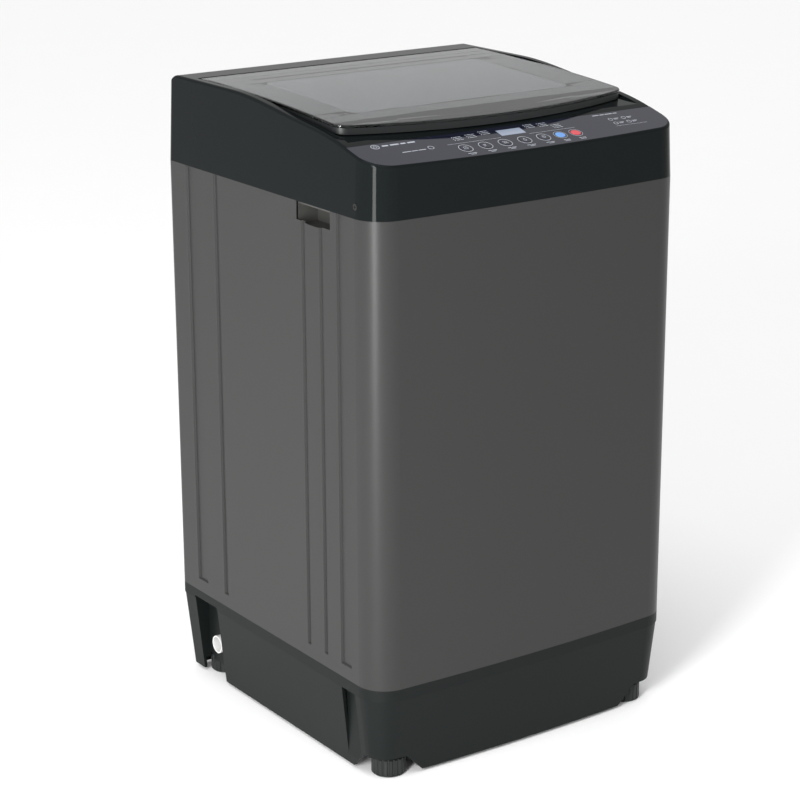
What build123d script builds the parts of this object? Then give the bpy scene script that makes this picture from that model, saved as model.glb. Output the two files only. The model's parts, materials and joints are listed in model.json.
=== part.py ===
"""Top load washing machine: cabinet, lid, hung tub, spinning basket and belt drive.

Frame: X to the right, Y to the rear, Z up, in millimetres. The origin is on the
floor, under the middle of the machine, and the drum axis is the Z axis.
"""
from build123d import *
import os
from math import atan, cos, radians, sin, sqrt

os.makedirs("parts", exist_ok=True)

# Cabinet -----------------------------------------------------------------
width = 540.0
depth = 550.0
front_bow = 9.0
corner_radius = 44.0
rear_radius = 14.0
sheet = 1.2
cabinet_bottom = 145.0
cabinet_top = 818.0
cabinet_flange = 14.0
joggle = 6.2
joggle_width = 14.0
rear_flange = 18.0
groove_depth = 3.0
groove_end_height = 20.0

# Side grooves: middle, width and draw-in of the slanted end, from front to rear.
side_grooves = [(-194.0, 27.0), (-142.5, 9.0), (-98.0, 9.0), (135.0, 12.0), (205.0, 29.0)]
handle_middle = -124.0
handle_width = 84.0
handle_height = 26.0
handle_dip = 2.5
handle_reach = 34.0
cup_wall = 2.2
gland_x = -190.0
gland_z = 740.0

# Base --------------------------------------------------------------------
base_lip = 17.0
lip_proud = 1.5
base_draft = 6.0
base_wall = 3.5
base_flange = 56.0
skirt_bottom = 5.0
channel_middle = -196.0
channel_width = 34.0
channel_depth = 8.0
recess_middle = 200.0
recess_width = 66.0
recess_depth = 24.0
recess_bottom = 22.0
notch_height = 34.0
notch_side_start = -190.0

# Feet --------------------------------------------------------------------
foot_x = 220.0
foot_y = 225.0
foot_radius = 25.0
foot_height = 28.0
stem_radius = 5.0
stem_top = 84.0
tower_radius = 20.0
tower_bottom = 36.0
thread_clearance = 0.05
nut_flats = 17.0

# Top cover ---------------------------------------------------------------
cover_draft = 2.5
cover_wall = 3.5
cover_edge = 4.0
deck_height = 946.0
slope_start = 100.0
panel_rear_y = -190.0
panel_rear_z = 911.0
panel_slope = 0.272
rear_crown = 28.0
opening_half_x = 197.0
opening_half_y = 151.0
screw_y = -225.0
screw_z = 834.0

# Lid ---------------------------------------------------------------------
lid_half_width = 250.0
lid_side_gap = 2.5
lid_rear = 203.5
lid_front_middle = -193.0
lid_front_side = -156.0
lid_corner = 23.0
glass = 4.0
lid_front_z = 926.0
lid_middle_z = 940.8
lid_base_rear_z = 936.5
lid_base_middle_z = 930.0
lid_base_front_z = 912.5
lid_rest_gap = 1.5
rim_wall = 6.0
frame_web = 2.0
window_half_x = 192.0
window_front = -105.0
window_rear = 124.0
hinge_y = 199.0
hinge_z = 939.5
pin_radius = 2.5
pin_clearance = 0.05
seam = 4.5
gutter_floor = 929.0

# Control panel -----------------------------------------------------------
fascia_inset = 6.0
fascia_thickness = 1.8
fascia_gap = 0.15
fascia_rear = -199.0
button_radius = 7.4
button_gap = 0.35
button_height = 7.0
button_travel = 0.8
button_row = -243.5
button_names = ["program", "water_level", "wash", "rinse", "spin", "start", "power"]
button_places = [-100.5, -67.0, -33.5, 0.0, 33.0, 62.5, 90.0]
display_x = -3.0
display_y = -216.0
display_width = 42.0
display_depth = 17.0
board_drop = 16.0
board_width = 250.0
board_depth = 50.0
board_thickness = 1.6
tray_y = -230.0
tray_depth = 54.0
tray_wall = 2.0
tray_floor = 25.0

# Detergent drawer ----------------------------------------------------------
drawer_half_width = 62.0
drawer_bottom = 872.0
drawer_top = 910.0
drawer_front = 149.0
drawer_rear = 246.0
drawer_wall = 2.0
housing_wall = 2.0
drawer_gap = 0.8

# Water inlet ---------------------------------------------------------------
inlet_x = 150.0
inlet_z = 880.0
inlet_half = 27.0
inlet_floor = 240.0
spigot_radius = 13.2
spigot_end = 268.0
spigot_shoulder = 15.5
cup_fit = 0.3

# Tub and suspension ----------------------------------------------------------
tub_radius = 232.0
tub_wall = 3.0
tub_bottom = 205.0
tub_top = 792.0
tub_ring_inner = 181.0
tub_ring_height = 13.0
rib_height = 15.0
lug_height = 20.0
lug_bottom = 270.0
rod_place = 196.0
rod_radius = 4.0
rod_bottom = 200.0
bracket_bottom = 766.0
bracket_thickness = 3.0
seat_height = 7.0
spring_radius = 12.0
spring_wire = 1.3
spring_turns = 5.0
spring_seat_top = 215.0
spring_gap = 0.4
collar_bottom = 816.0
collar_bottom_radius = 183.0
collar_wall = 2.5

# Basket ------------------------------------------------------------------
basket_radius = 212.0
basket_wall = 1.2
basket_bottom = 232.0
basket_top = 770.0
ring_top = 788.0
ring_depth = 24.0
ring_inner = 176.0
hole_columns = 24
hole_rows = 7
hole_radius = 2.5

# Drive -------------------------------------------------------------------
spin_shaft_radius = 20.0
spin_shaft_bottom = 128.0
drive_shaft_radius = 12.0
drive_shaft_bottom = 78.0
shaft_clearance = 0.05
bearing_radius = 31.0
bearing_height = 14.0
pulsator_radius = 165.0
pulsator_bottom = 238.0
pulsator_rim = 8.0
pulsator_hump = 44.0
fin_count = 6
plate_radius = 188.0
plate_thickness = 4.0
case_radius = 48.0
case_bottom = 110.0
pulley_bottom = 84.0
pulley_height = 16.0
drive_groove = 62.5
motor_groove = 12.5
groove_lip = 5.5
belt_gap = 0.4
belt_thickness = 4.0
belt_height = 8.0
motor_distance = 135.0
motor_angle = 40.0
motor_radius = 56.0
motor_bottom = 112.0
motor_top = 176.0
drain_x = -120.0
drain_y = 120.0
drain_pipe = 14.4
drain_outlet = 14.0
spigot_mouth = -260.0
spigot_inside = -205.0
drain_z = 62.0
hose_wall = 3.0
hose_clearance = 0.4
boss_radius = 40.0
tub_floor = 4.0
bracket_size = 238.0
hole_pitch = 62.0
hub_bottom = 212.0
hub_arm = 195.0
filter_bottom = 430.0
filter_height = 190.0
filter_width = 64.0
filter_face = 194.0
screw_radius = 4.0
valve_radius = 24.0
valve_bottom = 134.0
nozzle_bottom = 92.0
boot_radius = 24.0
boot_bottom = 42.0
boot_top = 104.0
motor_shaft_radius = 6.0

# Worked-out places ----------------------------------------------------------
half_width = width / 2
half_depth = depth / 2
lip_bottom = cabinet_bottom - base_lip
plate_top = tub_bottom - rib_height
drive_shaft_top = pulsator_bottom + pulsator_hump - 14.0
motor_x = motor_distance * cos(radians(motor_angle))
motor_y = motor_distance * sin(radians(motor_angle))
belt_middle = pulley_bottom + pulley_height / 2
spigot_y = drain_y + 66.0
panel_angle = atan(panel_slope)
lug_reach = rod_place * sqrt(2)
corners = [(-1, -1), (1, -1), (-1, 1), (1, 1)]


def save(part, name):
    """Labels one finished piece and writes its STEP file."""
    part.label = name
    export_step(part, f"parts/{name}.step")


def outline(inset):
    """The machine's outline from above, moved inward by inset."""
    side = half_width - inset
    rear = half_depth - inset
    shoulder = front_bow + inset - half_depth
    with BuildSketch(mode=Mode.PRIVATE) as plan:
        with BuildLine():
            Polyline((side, shoulder), (side, rear), (-side, rear), (-side, shoulder))
            ThreePointArc((-side, shoulder), (0, inset - half_depth), (side, shoulder))
        make_face()
        fillet(plan.vertices().group_by(Axis.Y)[0], max(corner_radius - inset, 1.0))
        fillet(plan.vertices().group_by(Axis.Y)[-1], max(rear_radius - inset, 1.0))
    return plan.sketch


def panel_z(y):
    """Height of the sloped control panel at depth y."""
    return panel_rear_z + panel_slope * (y - panel_rear_y)


def cover_profile(drop):
    """Side view of everything under the cover's top surface, lowered by drop."""
    far = half_depth + 10.0
    low = cabinet_top - 10.0
    with BuildSketch(mode=Mode.PRIVATE) as side:
        with BuildLine():
            Line((-far, low), (-far, panel_z(-far) - drop))
            Line((-far, panel_z(-far) - drop), (panel_rear_y, panel_rear_z - drop))
            Spline(
                (panel_rear_y, panel_rear_z - drop),
                (-58.0, deck_height - 15.0 - drop),
                (slope_start, deck_height - drop),
                tangents=[(1.0, panel_slope), (1.0, 0.0)],
            )
            Line((slope_start, deck_height - drop), (half_depth - rear_crown, deck_height - drop))
            crown = TangentArc(
                (half_depth - rear_crown, deck_height - drop),
                (half_depth - drop, deck_height - rear_crown - drop),
                tangent=(1.0, 0.0),
            )
            Polyline(
                crown @ 1,
                (half_depth + 5.0, deck_height - rear_crown - 6.0),
                (half_depth + 5.0, low),
                (-far, low),
            )
        make_face()
    return side.sketch


def lid_curve(rear_z, middle_z, front_z, lift, overrun=0.0):
    """Side view of everything above a gently bowed line through three heights."""
    ceiling = deck_height + 40.0
    front = lid_front_middle - 2.0
    rear = lid_rear + seam
    with BuildSketch(mode=Mode.PRIVATE) as side:
        with BuildLine():
            ThreePointArc((front, front_z + lift), (0, middle_z + lift), (rear, rear_z + lift))
            Polyline(
                (rear, rear_z + lift),
                (rear + overrun + 0.01, rear_z + lift),
                (rear + overrun + 0.01, ceiling),
                (front - overrun - 0.01, ceiling),
                (front - overrun - 0.01, front_z + lift),
                (front, front_z + lift),
            )
        make_face()
    return side.sketch


def lid_plan(inset):
    """The lid's outline from above, moved inward by inset."""
    side = lid_half_width - inset
    with BuildSketch(mode=Mode.PRIVATE) as plan:
        with BuildLine():
            Polyline(
                (side, lid_front_side + inset),
                (side, lid_rear - inset),
                (-side, lid_rear - inset),
                (-side, lid_front_side + inset),
            )
            ThreePointArc(
                (-side, lid_front_side + inset),
                (0, lid_front_middle + inset),
                (side, lid_front_side + inset),
            )
        make_face()
        fillet(plan.vertices().group_by(Axis.Y)[0], max(lid_corner - inset, 1.0))
        fillet(plan.vertices().group_by(Axis.Y)[-1], 2.0)
    return plan.sketch


def panel_plane(x, y, lift):
    """A plane lying on the control panel, lift above its surface."""
    normal = Vector(0, -sin(panel_angle), cos(panel_angle))
    return Plane(origin=Vector(x, y, panel_z(y)) + normal * lift, x_dir=(1, 0, 0), z_dir=normal)


# Shapes that more than one piece uses, made once.
full_plan = outline(0)
sheet_plan = outline(sheet)
cover_inner_plan = outline(cover_wall)
cover_side = cover_profile(0)
cover_inner_side = cover_profile(cover_wall)
recess_side = lid_curve(lid_base_rear_z, lid_base_middle_z, lid_base_front_z, -lid_rest_gap)
recess_backing = lid_curve(
    lid_base_rear_z, lid_base_middle_z, lid_base_front_z, -lid_rest_gap - cover_wall, cover_wall
)
lid_underside = lid_curve(lid_base_rear_z, lid_base_middle_z, lid_base_front_z, 0)
lid_top_side = lid_curve(deck_height, lid_middle_z, lid_front_z, 0)
glass_side = lid_curve(deck_height, lid_middle_z, lid_front_z, -glass)
lid_full_plan = lid_plan(0)
frame_plan = lid_plan(1.0)
frame_inner_plan = lid_plan(1.0 + rim_wall)


# Cabinet: a sheet wrap with flanges, pressed side grooves and handle holes ------
def grooves(face_x, grow, foot):
    """Cuts the pressed grooves of both sides into the part being built."""
    tall = cabinet_top - foot + 20.0
    for side in (-1, 1):
        for middle, groove_width in side_grooves:
            with BuildSketch(Plane.YZ.offset(side * face_x)) as groove:
                with Locations((middle, foot + tall / 2)):
                    Rectangle(groove_width + grow, tall)
            extrude(groove.sketch, amount=-side * groove_depth, taper=30, mode=Mode.SUBTRACT)


with BuildPart() as cabinet_skin:
    with BuildSketch(Plane.XY.offset(cabinet_bottom)):
        add(full_plan)
    extrude(amount=cabinet_top - cabinet_bottom)
    grooves(half_width, 0.0, cabinet_bottom + groove_end_height)

with BuildPart() as cabinet_void:
    with BuildSketch(Plane.XY.offset(cabinet_bottom - 1.0)):
        add(sheet_plan)
    extrude(amount=cabinet_top - cabinet_bottom + 2.0)
    grooves(half_width - sheet, 1.2 * sheet, cabinet_bottom + groove_end_height - sheet)

joggle_x = half_width - joggle_width
flange_y = half_depth - joggle - sheet
with BuildPart() as cabinet:
    add(cabinet_skin.part)
    add(cabinet_void.part, mode=Mode.SUBTRACT)
    with BuildSketch(Plane.XY.offset(cabinet_bottom), Plane.XY.offset(cabinet_top - sheet)):
        add(sheet_plan)
        add(outline(sheet + cabinet_flange), mode=Mode.SUBTRACT)
    extrude(amount=sheet)
    with Locations((0, half_depth, (cabinet_bottom + cabinet_top) / 2)):
        Box(2 * joggle_x, 2 * joggle_width, cabinet_top - cabinet_bottom + 2.0, mode=Mode.SUBTRACT)
    for side in (-1, 1):
        with BuildSketch(Plane.XY.offset(cabinet_bottom)):
            with Locations((side * (joggle_x + sheet / 2), half_depth)):
                Rectangle(sheet, joggle + sheet, align=(Align.CENTER, Align.MAX))
            with Locations((side * (joggle_x + sheet), flange_y)):
                Rectangle(rear_flange, sheet, align=(Align.MAX if side > 0 else Align.MIN, Align.MIN))
        extrude(amount=cabinet_top - cabinet_bottom)
        with BuildSketch(Plane.YZ.offset(side * (half_width + 1.0))):
            with Locations((handle_middle, cabinet_top + 1.0)):
                Rectangle(handle_width, handle_height + 1.0, align=(Align.CENTER, Align.MAX))
            with Locations((handle_middle, cabinet_top - handle_height)):
                Ellipse(handle_width * 0.3, handle_dip)
        extrude(amount=-side * (cabinet_flange + sheet + 2.0), mode=Mode.SUBTRACT)
save(cabinet.part, "cabinet")

# Handle cups: open shells behind the two handle holes ----------------------------
cup_names = {-1: "handle_cup_left", 1: "handle_cup_right"}
for side in (-1, 1):
    cup_face = half_width - sheet - groove_depth - 0.2
    cup_top = cabinet_top - sheet - 0.4
    cup_height = handle_height + handle_dip + 5.0
    cup_length = handle_width + 6.0
    with BuildPart() as handle_cup:
        with BuildSketch(Plane.YZ.offset(side * cup_face)):
            with Locations((handle_middle, cup_top)):
                Rectangle(cup_length, cup_height, align=(Align.CENTER, Align.MAX))
        extrude(amount=-side * handle_reach)
        with BuildSketch(Plane.YZ.offset(side * (cup_face + 1.0))):
            with Locations((handle_middle, cup_top - cup_wall)):
                Rectangle(
                    cup_length - 2 * cup_wall,
                    cup_height - 2 * cup_wall,
                    align=(Align.CENTER, Align.MAX),
                )
        extrude(amount=-side * (handle_reach + 1.0 - cup_wall), mode=Mode.SUBTRACT)
    save(handle_cup.part, cup_names[side])

# Rear panel with louvres, its screws and the cable gland --------------------------
rear_panel_y = flange_y + sheet
rear_panel_half = joggle_x - 1.0
rear_panel_low = cabinet_bottom + 3.0
rear_panel_high = cabinet_top - 6.0
with BuildPart() as rear_panel:
    with BuildSketch(Plane.XZ.offset(-rear_panel_y)):
        with Locations((0, (rear_panel_low + rear_panel_high) / 2)):
            Rectangle(2 * rear_panel_half, rear_panel_high - rear_panel_low)
        with GridLocations(0, 14.0, 1, 9):
            with Locations((0, 300.0)):
                SlotOverall(150.0, 5.0, mode=Mode.SUBTRACT)
        with Locations((gland_x, gland_z)):
            Circle(8.0, mode=Mode.SUBTRACT)
    extrude(amount=-sheet)
save(rear_panel.part, "rear_panel")

with BuildPart() as cable_gland:
    with BuildSketch(Plane.XZ.offset(-(rear_panel_y - 8.0))):
        with Locations((gland_x, gland_z)):
            Circle(8.0)
            Circle(3.8, mode=Mode.SUBTRACT)
    extrude(amount=-(8.0 + sheet + 4.0))
    with BuildSketch(Plane.XZ.offset(-(rear_panel_y + sheet))):
        with Locations((gland_x, gland_z)):
            RegularPolygon(11.5, 6)
            Circle(8.0, mode=Mode.SUBTRACT)
    extrude(amount=-3.6)
save(cable_gland.part, "cable_gland")

rear_screw_x = rear_panel_half - 5.0
rear_screw_step = (rear_panel_high - rear_panel_low - 24.0) / 3
rear_screw_z = [rear_panel_low + 12.0 + step * rear_screw_step for step in range(4)]
with BuildPart() as rear_panel_screws:
    for side in (-1, 1):
        for height in rear_screw_z:
            with BuildSketch(Plane.XZ.offset(-(rear_panel_y + sheet))):
                with Locations((side * rear_screw_x, height)):
                    Circle(4.2)
            extrude(amount=-2.2)
save(rear_panel_screws.part, "rear_panel_screws")

# Base: a tapered plastic skirt with a lip, corner towers and the drain recess -------
skirt_height = lip_bottom - skirt_bottom
recess_back = half_width - recess_depth
with BuildPart() as skirt_void:
    with BuildSketch(Plane.XY.offset(cabinet_bottom - base_wall)):
        add(outline(base_wall + 1.0))
    extrude(amount=-(cabinet_bottom - base_wall), taper=base_draft)

with BuildPart() as base:
    with BuildSketch(Plane.XY.offset(lip_bottom)):
        add(outline(1.0))
    extrude(amount=-skirt_height, taper=base_draft)
    with BuildSketch(Plane.XY.offset(lip_bottom)):
        add(outline(0))
    extrude(amount=base_lip)
    for side in (-1, 1):
        with Locations((side * half_width, channel_middle, lip_bottom)):
            Box(
                2 * (channel_depth + 4.0),
                channel_width,
                2 * skirt_height,
                align=(Align.CENTER, Align.CENTER, Align.MAX),
                mode=Mode.SUBTRACT,
            )
    with Locations((-half_width, recess_middle, lip_bottom + 4.0)):
        Box(
            2 * recess_depth,
            recess_width,
            skirt_height + 20.0,
            align=(Align.CENTER, Align.CENTER, Align.MAX),
            mode=Mode.SUBTRACT,
        )
    add(skirt_void.part, mode=Mode.SUBTRACT)
    with BuildSketch(Plane.XY.offset(cabinet_bottom - 2 * base_wall)):
        add(outline(base_flange))
    extrude(amount=3 * base_wall, mode=Mode.SUBTRACT)
    for side in (-1, 1):
        with Locations((side * (half_width - channel_depth - 4.0), channel_middle, lip_bottom)):
            Box(
                2 * base_wall,
                channel_width + 2 * base_wall,
                skirt_height - 14.0,
                align=(Align.MAX if side > 0 else Align.MIN, Align.CENTER, Align.MAX),
            )
        with Locations((side * (half_width - 2.0), channel_middle, lip_bottom)):
            Box(
                channel_depth + 8.0,
                channel_width + 2 * base_wall,
                base_wall,
                align=(Align.MAX if side > 0 else Align.MIN, Align.CENTER, Align.MIN),
            )
    with Locations((-recess_back, recess_middle, lip_bottom + 4.0 + base_wall)):
        Box(
            base_wall,
            recess_width + 2 * base_wall,
            lip_bottom + 4.0 + base_wall - recess_bottom,
            align=(Align.MIN, Align.CENTER, Align.MAX),
        )
    with Locations((-(half_width - 3.0), recess_middle, lip_bottom + 4.0)):
        Box(
            recess_depth,
            recess_width + 2 * base_wall,
            base_wall,
            align=(Align.MIN, Align.CENTER, Align.MIN),
        )
    for end in (-1, 1):
        with BuildSketch(Plane.XZ.offset(-(recess_middle + end * (recess_width + base_wall) / 2))):
            with BuildLine():
                Polyline(
                    (-recess_back + base_wall, lip_bottom + 4.0),
                    (-(half_width - 3.0), lip_bottom + 4.0),
                    (-(half_width - 14.0), recess_bottom),
                    (-recess_back + base_wall, recess_bottom),
                    close=True,
                )
            make_face()
        extrude(amount=base_wall / 2, both=True)
    front_cut = half_depth - corner_radius
    notch_end = foot_x - 8.0
    with BuildSketch(Plane.XZ.offset(front_cut)):
        with BuildLine():
            Polyline(
                (-half_width - 20.0, -1.0),
                (-half_width - 20.0, notch_height),
                (-notch_end, notch_height),
                (-notch_end + notch_height - skirt_bottom, skirt_bottom),
                (notch_end - notch_height + skirt_bottom, skirt_bottom),
                (notch_end, notch_height),
                (half_width + 20.0, notch_height),
                (half_width + 20.0, -1.0),
                close=True,
            )
        make_face()
    extrude(amount=corner_radius + 10.0, mode=Mode.SUBTRACT)
    for side in (-1, 1):
        with BuildSketch(Plane.YZ.offset(side * (half_width + 10.0))):
            with BuildLine():
                Polyline(
                    (notch_side_start, -1.0),
                    (notch_side_start, skirt_bottom),
                    (notch_side_start - notch_height + skirt_bottom, notch_height),
                    (-half_depth - 10.0, notch_height),
                    (-half_depth - 10.0, -1.0),
                    close=True,
                )
            make_face()
        extrude(amount=-side * (half_width + 10.0 - notch_end), mode=Mode.SUBTRACT)
    for x_side, y_side in corners:
        with BuildSketch(Plane.XY.offset(tower_bottom)):
            with Locations((x_side * foot_x, y_side * foot_y)):
                Circle(tower_radius)
        extrude(amount=cabinet_bottom - tower_bottom)
        with BuildSketch(Plane.XY.offset(tower_bottom - 1.0)):
            with Locations((x_side * foot_x, y_side * foot_y)):
                Circle(stem_radius + thread_clearance)
        extrude(amount=stem_top - tower_bottom + 7.0, mode=Mode.SUBTRACT)
        with BuildSketch(Plane.XY):
            with Locations((x_side * foot_x, y_side * foot_y)):
                Circle(foot_radius + 1.5)
        extrude(amount=foot_height + 3.0, mode=Mode.SUBTRACT)
    with BuildSketch(Plane.YZ.offset(-half_width)):
        with Locations((spigot_y, drain_z)):
            Circle(drain_pipe + 0.1)
    extrude(amount=recess_depth + 2 * base_wall, mode=Mode.SUBTRACT)
save(base.part, "base")

# Feet, their lock nuts, and the drain spigot -----------------------------------------
foot_names = ["foot_front_left", "foot_front_right", "foot_rear_left", "foot_rear_right"]
for name, (x_side, y_side) in zip(foot_names, corners):
    with BuildPart() as foot:
        with Locations((x_side * foot_x, y_side * foot_y, 0)):
            Cylinder(foot_radius, foot_height, align=(Align.CENTER, Align.CENTER, Align.MIN))
        chamfer(foot.edges().filter_by(GeomType.CIRCLE), 2.0)
        with BuildSketch(Plane.XY.offset(3.0)):
            with Locations((x_side * foot_x, y_side * foot_y)):
                with PolarLocations(foot_radius + 0.6, 20):
                    Circle(2.0)
        extrude(amount=foot_height, mode=Mode.SUBTRACT)
        with BuildSketch(Plane.XY.offset(foot_height)):
            with Locations((x_side * foot_x, y_side * foot_y)):
                Circle(stem_radius)
        extrude(amount=stem_top - foot_height)
    save(foot.part, name)

with BuildPart() as foot_lock_nuts:
    for x_side, y_side in corners:
        with BuildSketch(Plane.XY.offset(foot_height + 0.4)):
            with Locations((x_side * foot_x, y_side * foot_y)):
                RegularPolygon(nut_flats / 2, 6, major_radius=False)
                Circle(stem_radius + thread_clearance, mode=Mode.SUBTRACT)
        extrude(amount=tower_bottom - foot_height - 0.4)
save(foot_lock_nuts.part, "foot_lock_nuts")

spigot_flange_x = -recess_back + base_wall
with BuildPart() as drain_spigot:
    with BuildSketch(Plane.YZ.offset(spigot_mouth)):
        with Locations((spigot_y, drain_z)):
            Circle(drain_outlet)
    extrude(amount=spigot_inside - spigot_mouth)
    with BuildSketch(Plane.YZ.offset(-recess_back)):
        with Locations((spigot_y, drain_z)):
            Circle(drain_pipe)
    extrude(amount=spigot_inside + recess_back)
    with BuildSketch(Plane.YZ.offset(spigot_flange_x)):
        with Locations((spigot_y, drain_z)):
            Circle(drain_pipe + 6.0)
    extrude(amount=3.0)
    with BuildSketch(Plane.YZ.offset(spigot_mouth - 1.0)):
        with Locations((spigot_y, drain_z)):
            Circle(drain_pipe - 2.4)
    extrude(amount=half_width, mode=Mode.SUBTRACT)
save(drain_spigot.part, "drain_spigot")

# Top cover: a hollow crowned cap with the lid's recess and the panel's seat -----------
def panel_slab(piece_plan, thickness):
    """The layer of the given thickness just under the control panel's surface."""
    with BuildPart() as slab:
        with BuildSketch(Plane.XY.offset(panel_rear_z - 60.0)):
            add(piece_plan)
        extrude(amount=120.0)
        with BuildSketch(Plane.YZ):
            with BuildLine():
                Polyline(
                    (-half_depth, panel_z(-half_depth)),
                    (fascia_rear, panel_z(fascia_rear)),
                    (fascia_rear, panel_z(fascia_rear) - thickness),
                    (-half_depth, panel_z(-half_depth) - thickness),
                    close=True,
                )
            make_face()
        extrude(amount=width, both=True, mode=Mode.INTERSECT)
    return slab


fascia_seat = panel_slab(outline(fascia_inset), fascia_thickness)
fascia_blank = panel_slab(outline(fascia_inset + fascia_gap), fascia_thickness)
tray_width = board_width + 14.0
cover_tall = deck_height + 20.0 - cabinet_top
recess_half = lid_half_width + lid_side_gap
with BuildPart() as cover_skin:
    with BuildSketch(Plane.XY.offset(cabinet_top)):
        add(full_plan)
    extrude(amount=cover_tall, taper=cover_draft)
    with BuildSketch(Plane.YZ):
        add(cover_side)
    extrude(amount=width, both=True, mode=Mode.INTERSECT)
    rim_edges = [
        edge
        for edge in cover_skin.edges()
        if edge.bounding_box().min.Z > screw_z
        and not (edge.bounding_box().size.X > width / 2 and edge.bounding_box().size.Y < 1.0)
    ]
    fillet(rim_edges, cover_edge)

with BuildPart() as cover_void:
    with BuildSketch(Plane.XY.offset(cabinet_top - 1.0)):
        add(cover_inner_plan)
    extrude(amount=cover_tall, taper=cover_draft)
    with BuildSketch(Plane.YZ):
        add(cover_inner_side)
    extrude(amount=width, both=True, mode=Mode.INTERSECT)
    with BuildSketch(Plane.YZ):
        add(recess_backing)
    extrude(amount=recess_half + cover_wall, both=True, mode=Mode.SUBTRACT)
    with Locations((0, lid_rear + seam + cover_wall, gutter_floor - cover_wall)):
        Box(
            2 * (recess_half + cover_wall),
            seam + 2 * cover_wall + 14.0,
            60.0,
            align=(Align.CENTER, Align.MAX, Align.MIN),
            mode=Mode.SUBTRACT,
        )

with BuildPart() as top_cover:
    add(cover_skin.part)
    with BuildSketch(Plane.YZ):
        add(recess_side)
    extrude(amount=recess_half, both=True, mode=Mode.SUBTRACT)
    with Locations((0, lid_rear + seam, gutter_floor)):
        Box(
            2 * recess_half,
            seam + 14.0,
            60.0,
            align=(Align.CENTER, Align.MAX, Align.MIN),
            mode=Mode.SUBTRACT,
        )
    add(cover_void.part, mode=Mode.SUBTRACT)
    with BuildSketch(Plane.XY.offset(panel_rear_z - 40.0)):
        Ellipse(opening_half_x, opening_half_y)
    extrude(amount=100.0, mode=Mode.SUBTRACT)
    add(fascia_seat.part, mode=Mode.SUBTRACT)
    with BuildSketch(panel_plane(0, tray_y, 5.0)):
        Rectangle(tray_width - 4.0, tray_depth - 4.0)
    extrude(amount=-15.0, mode=Mode.SUBTRACT)
    for side in (-1, 1):
        with BuildSketch(Plane.YZ.offset(side * (recess_half - 1.0))):
            with Locations((hinge_y, hinge_z)):
                Circle(pin_radius + pin_clearance)
        extrude(amount=side * (cover_wall + 2.0), mode=Mode.SUBTRACT)
        with BuildSketch(Plane.YZ.offset(side * (half_width + 5.0))):
            with Locations((screw_y, screw_z)):
                Circle(5.0)
        extrude(amount=-side * 8.0, mode=Mode.SUBTRACT)
    with BuildSketch(Plane.XZ.offset(-(half_depth + 5.0))):
        with Locations((inlet_x, inlet_z)):
            Rectangle(2 * inlet_half, 2 * inlet_half)
    extrude(amount=20.0, mode=Mode.SUBTRACT)
save(top_cover.part, "top_cover")

screw_face = half_width - 3.0
with BuildPart() as top_cover_screws:
    for side in (-1, 1):
        with BuildSketch(Plane.YZ.offset(side * screw_face)):
            with Locations((screw_y, screw_z)):
                Circle(4.6)
        extrude(amount=side * 2.2)
        with BuildSketch(Plane.YZ.offset(side * (screw_face + 2.2))):
            with Locations((screw_y, screw_z)):
                Rectangle(5.5, 1.1)
                Rectangle(1.1, 5.5)
        extrude(amount=-side * 1.2, mode=Mode.SUBTRACT)
save(top_cover_screws.part, "top_cover_screws")

# Drum collar: the funnel from the cover's opening down to the tub ------------------------
collar_top = deck_height - 6.0
with BuildPart() as drum_collar:
    for wall, mode in ((0.0, Mode.ADD), (collar_wall, Mode.SUBTRACT)):
        with BuildSketch(Plane.XY.offset(collar_bottom)):
            Circle(collar_bottom_radius - wall)
        with BuildSketch(Plane.XY.offset(collar_top)):
            Ellipse(opening_half_x + 3.0 - wall, opening_half_y + 3.0 - wall)
        loft(mode=mode)
    with BuildSketch(Plane.YZ):
        add(lid_curve(lid_base_rear_z, lid_base_middle_z, lid_base_front_z, -lid_rest_gap - cover_wall))
    extrude(amount=half_width, both=True, mode=Mode.SUBTRACT)
    with Locations((0, drawer_front + 20.0, (drawer_bottom + drawer_top) / 2)):
        Box(
            2 * (drawer_half_width + drawer_gap),
            80.0,
            drawer_top - drawer_bottom + 2 * drawer_gap,
            mode=Mode.SUBTRACT,
        )
save(drum_collar.part, "drum_collar")

# Control panel: fascia, display, buttons, board and tray ----------------------------------
with BuildPart() as control_fascia:
    add(fascia_blank.part)
    for place in button_places:
        with BuildSketch(panel_plane(place, button_row, 2.0)):
            Circle(button_radius + button_gap)
        extrude(amount=-8.0, mode=Mode.SUBTRACT)
    with BuildSketch(panel_plane(display_x, display_y, 2.0)):
        Rectangle(display_width, display_depth)
    extrude(amount=-8.0, mode=Mode.SUBTRACT)
save(control_fascia.part, "control_fascia")

with BuildPart() as display_window:
    with BuildSketch(panel_plane(display_x, display_y, 0.0)):
        Rectangle(display_width - 0.3, display_depth - 0.3)
    extrude(amount=-fascia_thickness)
save(display_window.part, "display_window")

for name, place in zip(button_names, button_places):
    with BuildPart() as button:
        with BuildSketch(panel_plane(place, button_row, 0.5)):
            Circle(button_radius)
        extrude(amount=-button_height)
        with BuildSketch(panel_plane(place, button_row, 0.5 - button_height)):
            Circle(button_radius + 1.8)
        extrude(amount=2.0)
        fillet(button.faces().sort_by(Axis.Z)[-1].edges(), 0.4)
    save(button.part, f"button_{name}")

switch_top = 0.5 - button_height - button_travel - 0.2
with BuildPart() as control_board:
    with BuildSketch(panel_plane(0, tray_y, -board_drop)):
        Rectangle(board_width, board_depth)
    extrude(amount=-board_thickness)
    for place in button_places:
        with BuildSketch(panel_plane(place, button_row, -board_drop)):
            Circle(3.0)
        extrude(amount=board_drop + switch_top)
        with BuildSketch(panel_plane(place, button_row, -board_drop)):
            Rectangle(9.0, 9.0)
        extrude(amount=4.0)
    with BuildSketch(panel_plane(display_x, display_y, -board_drop)):
        Rectangle(display_width - 2.0, display_depth - 2.0)
    extrude(amount=board_drop - fascia_thickness - 1.0)
save(control_board.part, "control_board")

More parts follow.
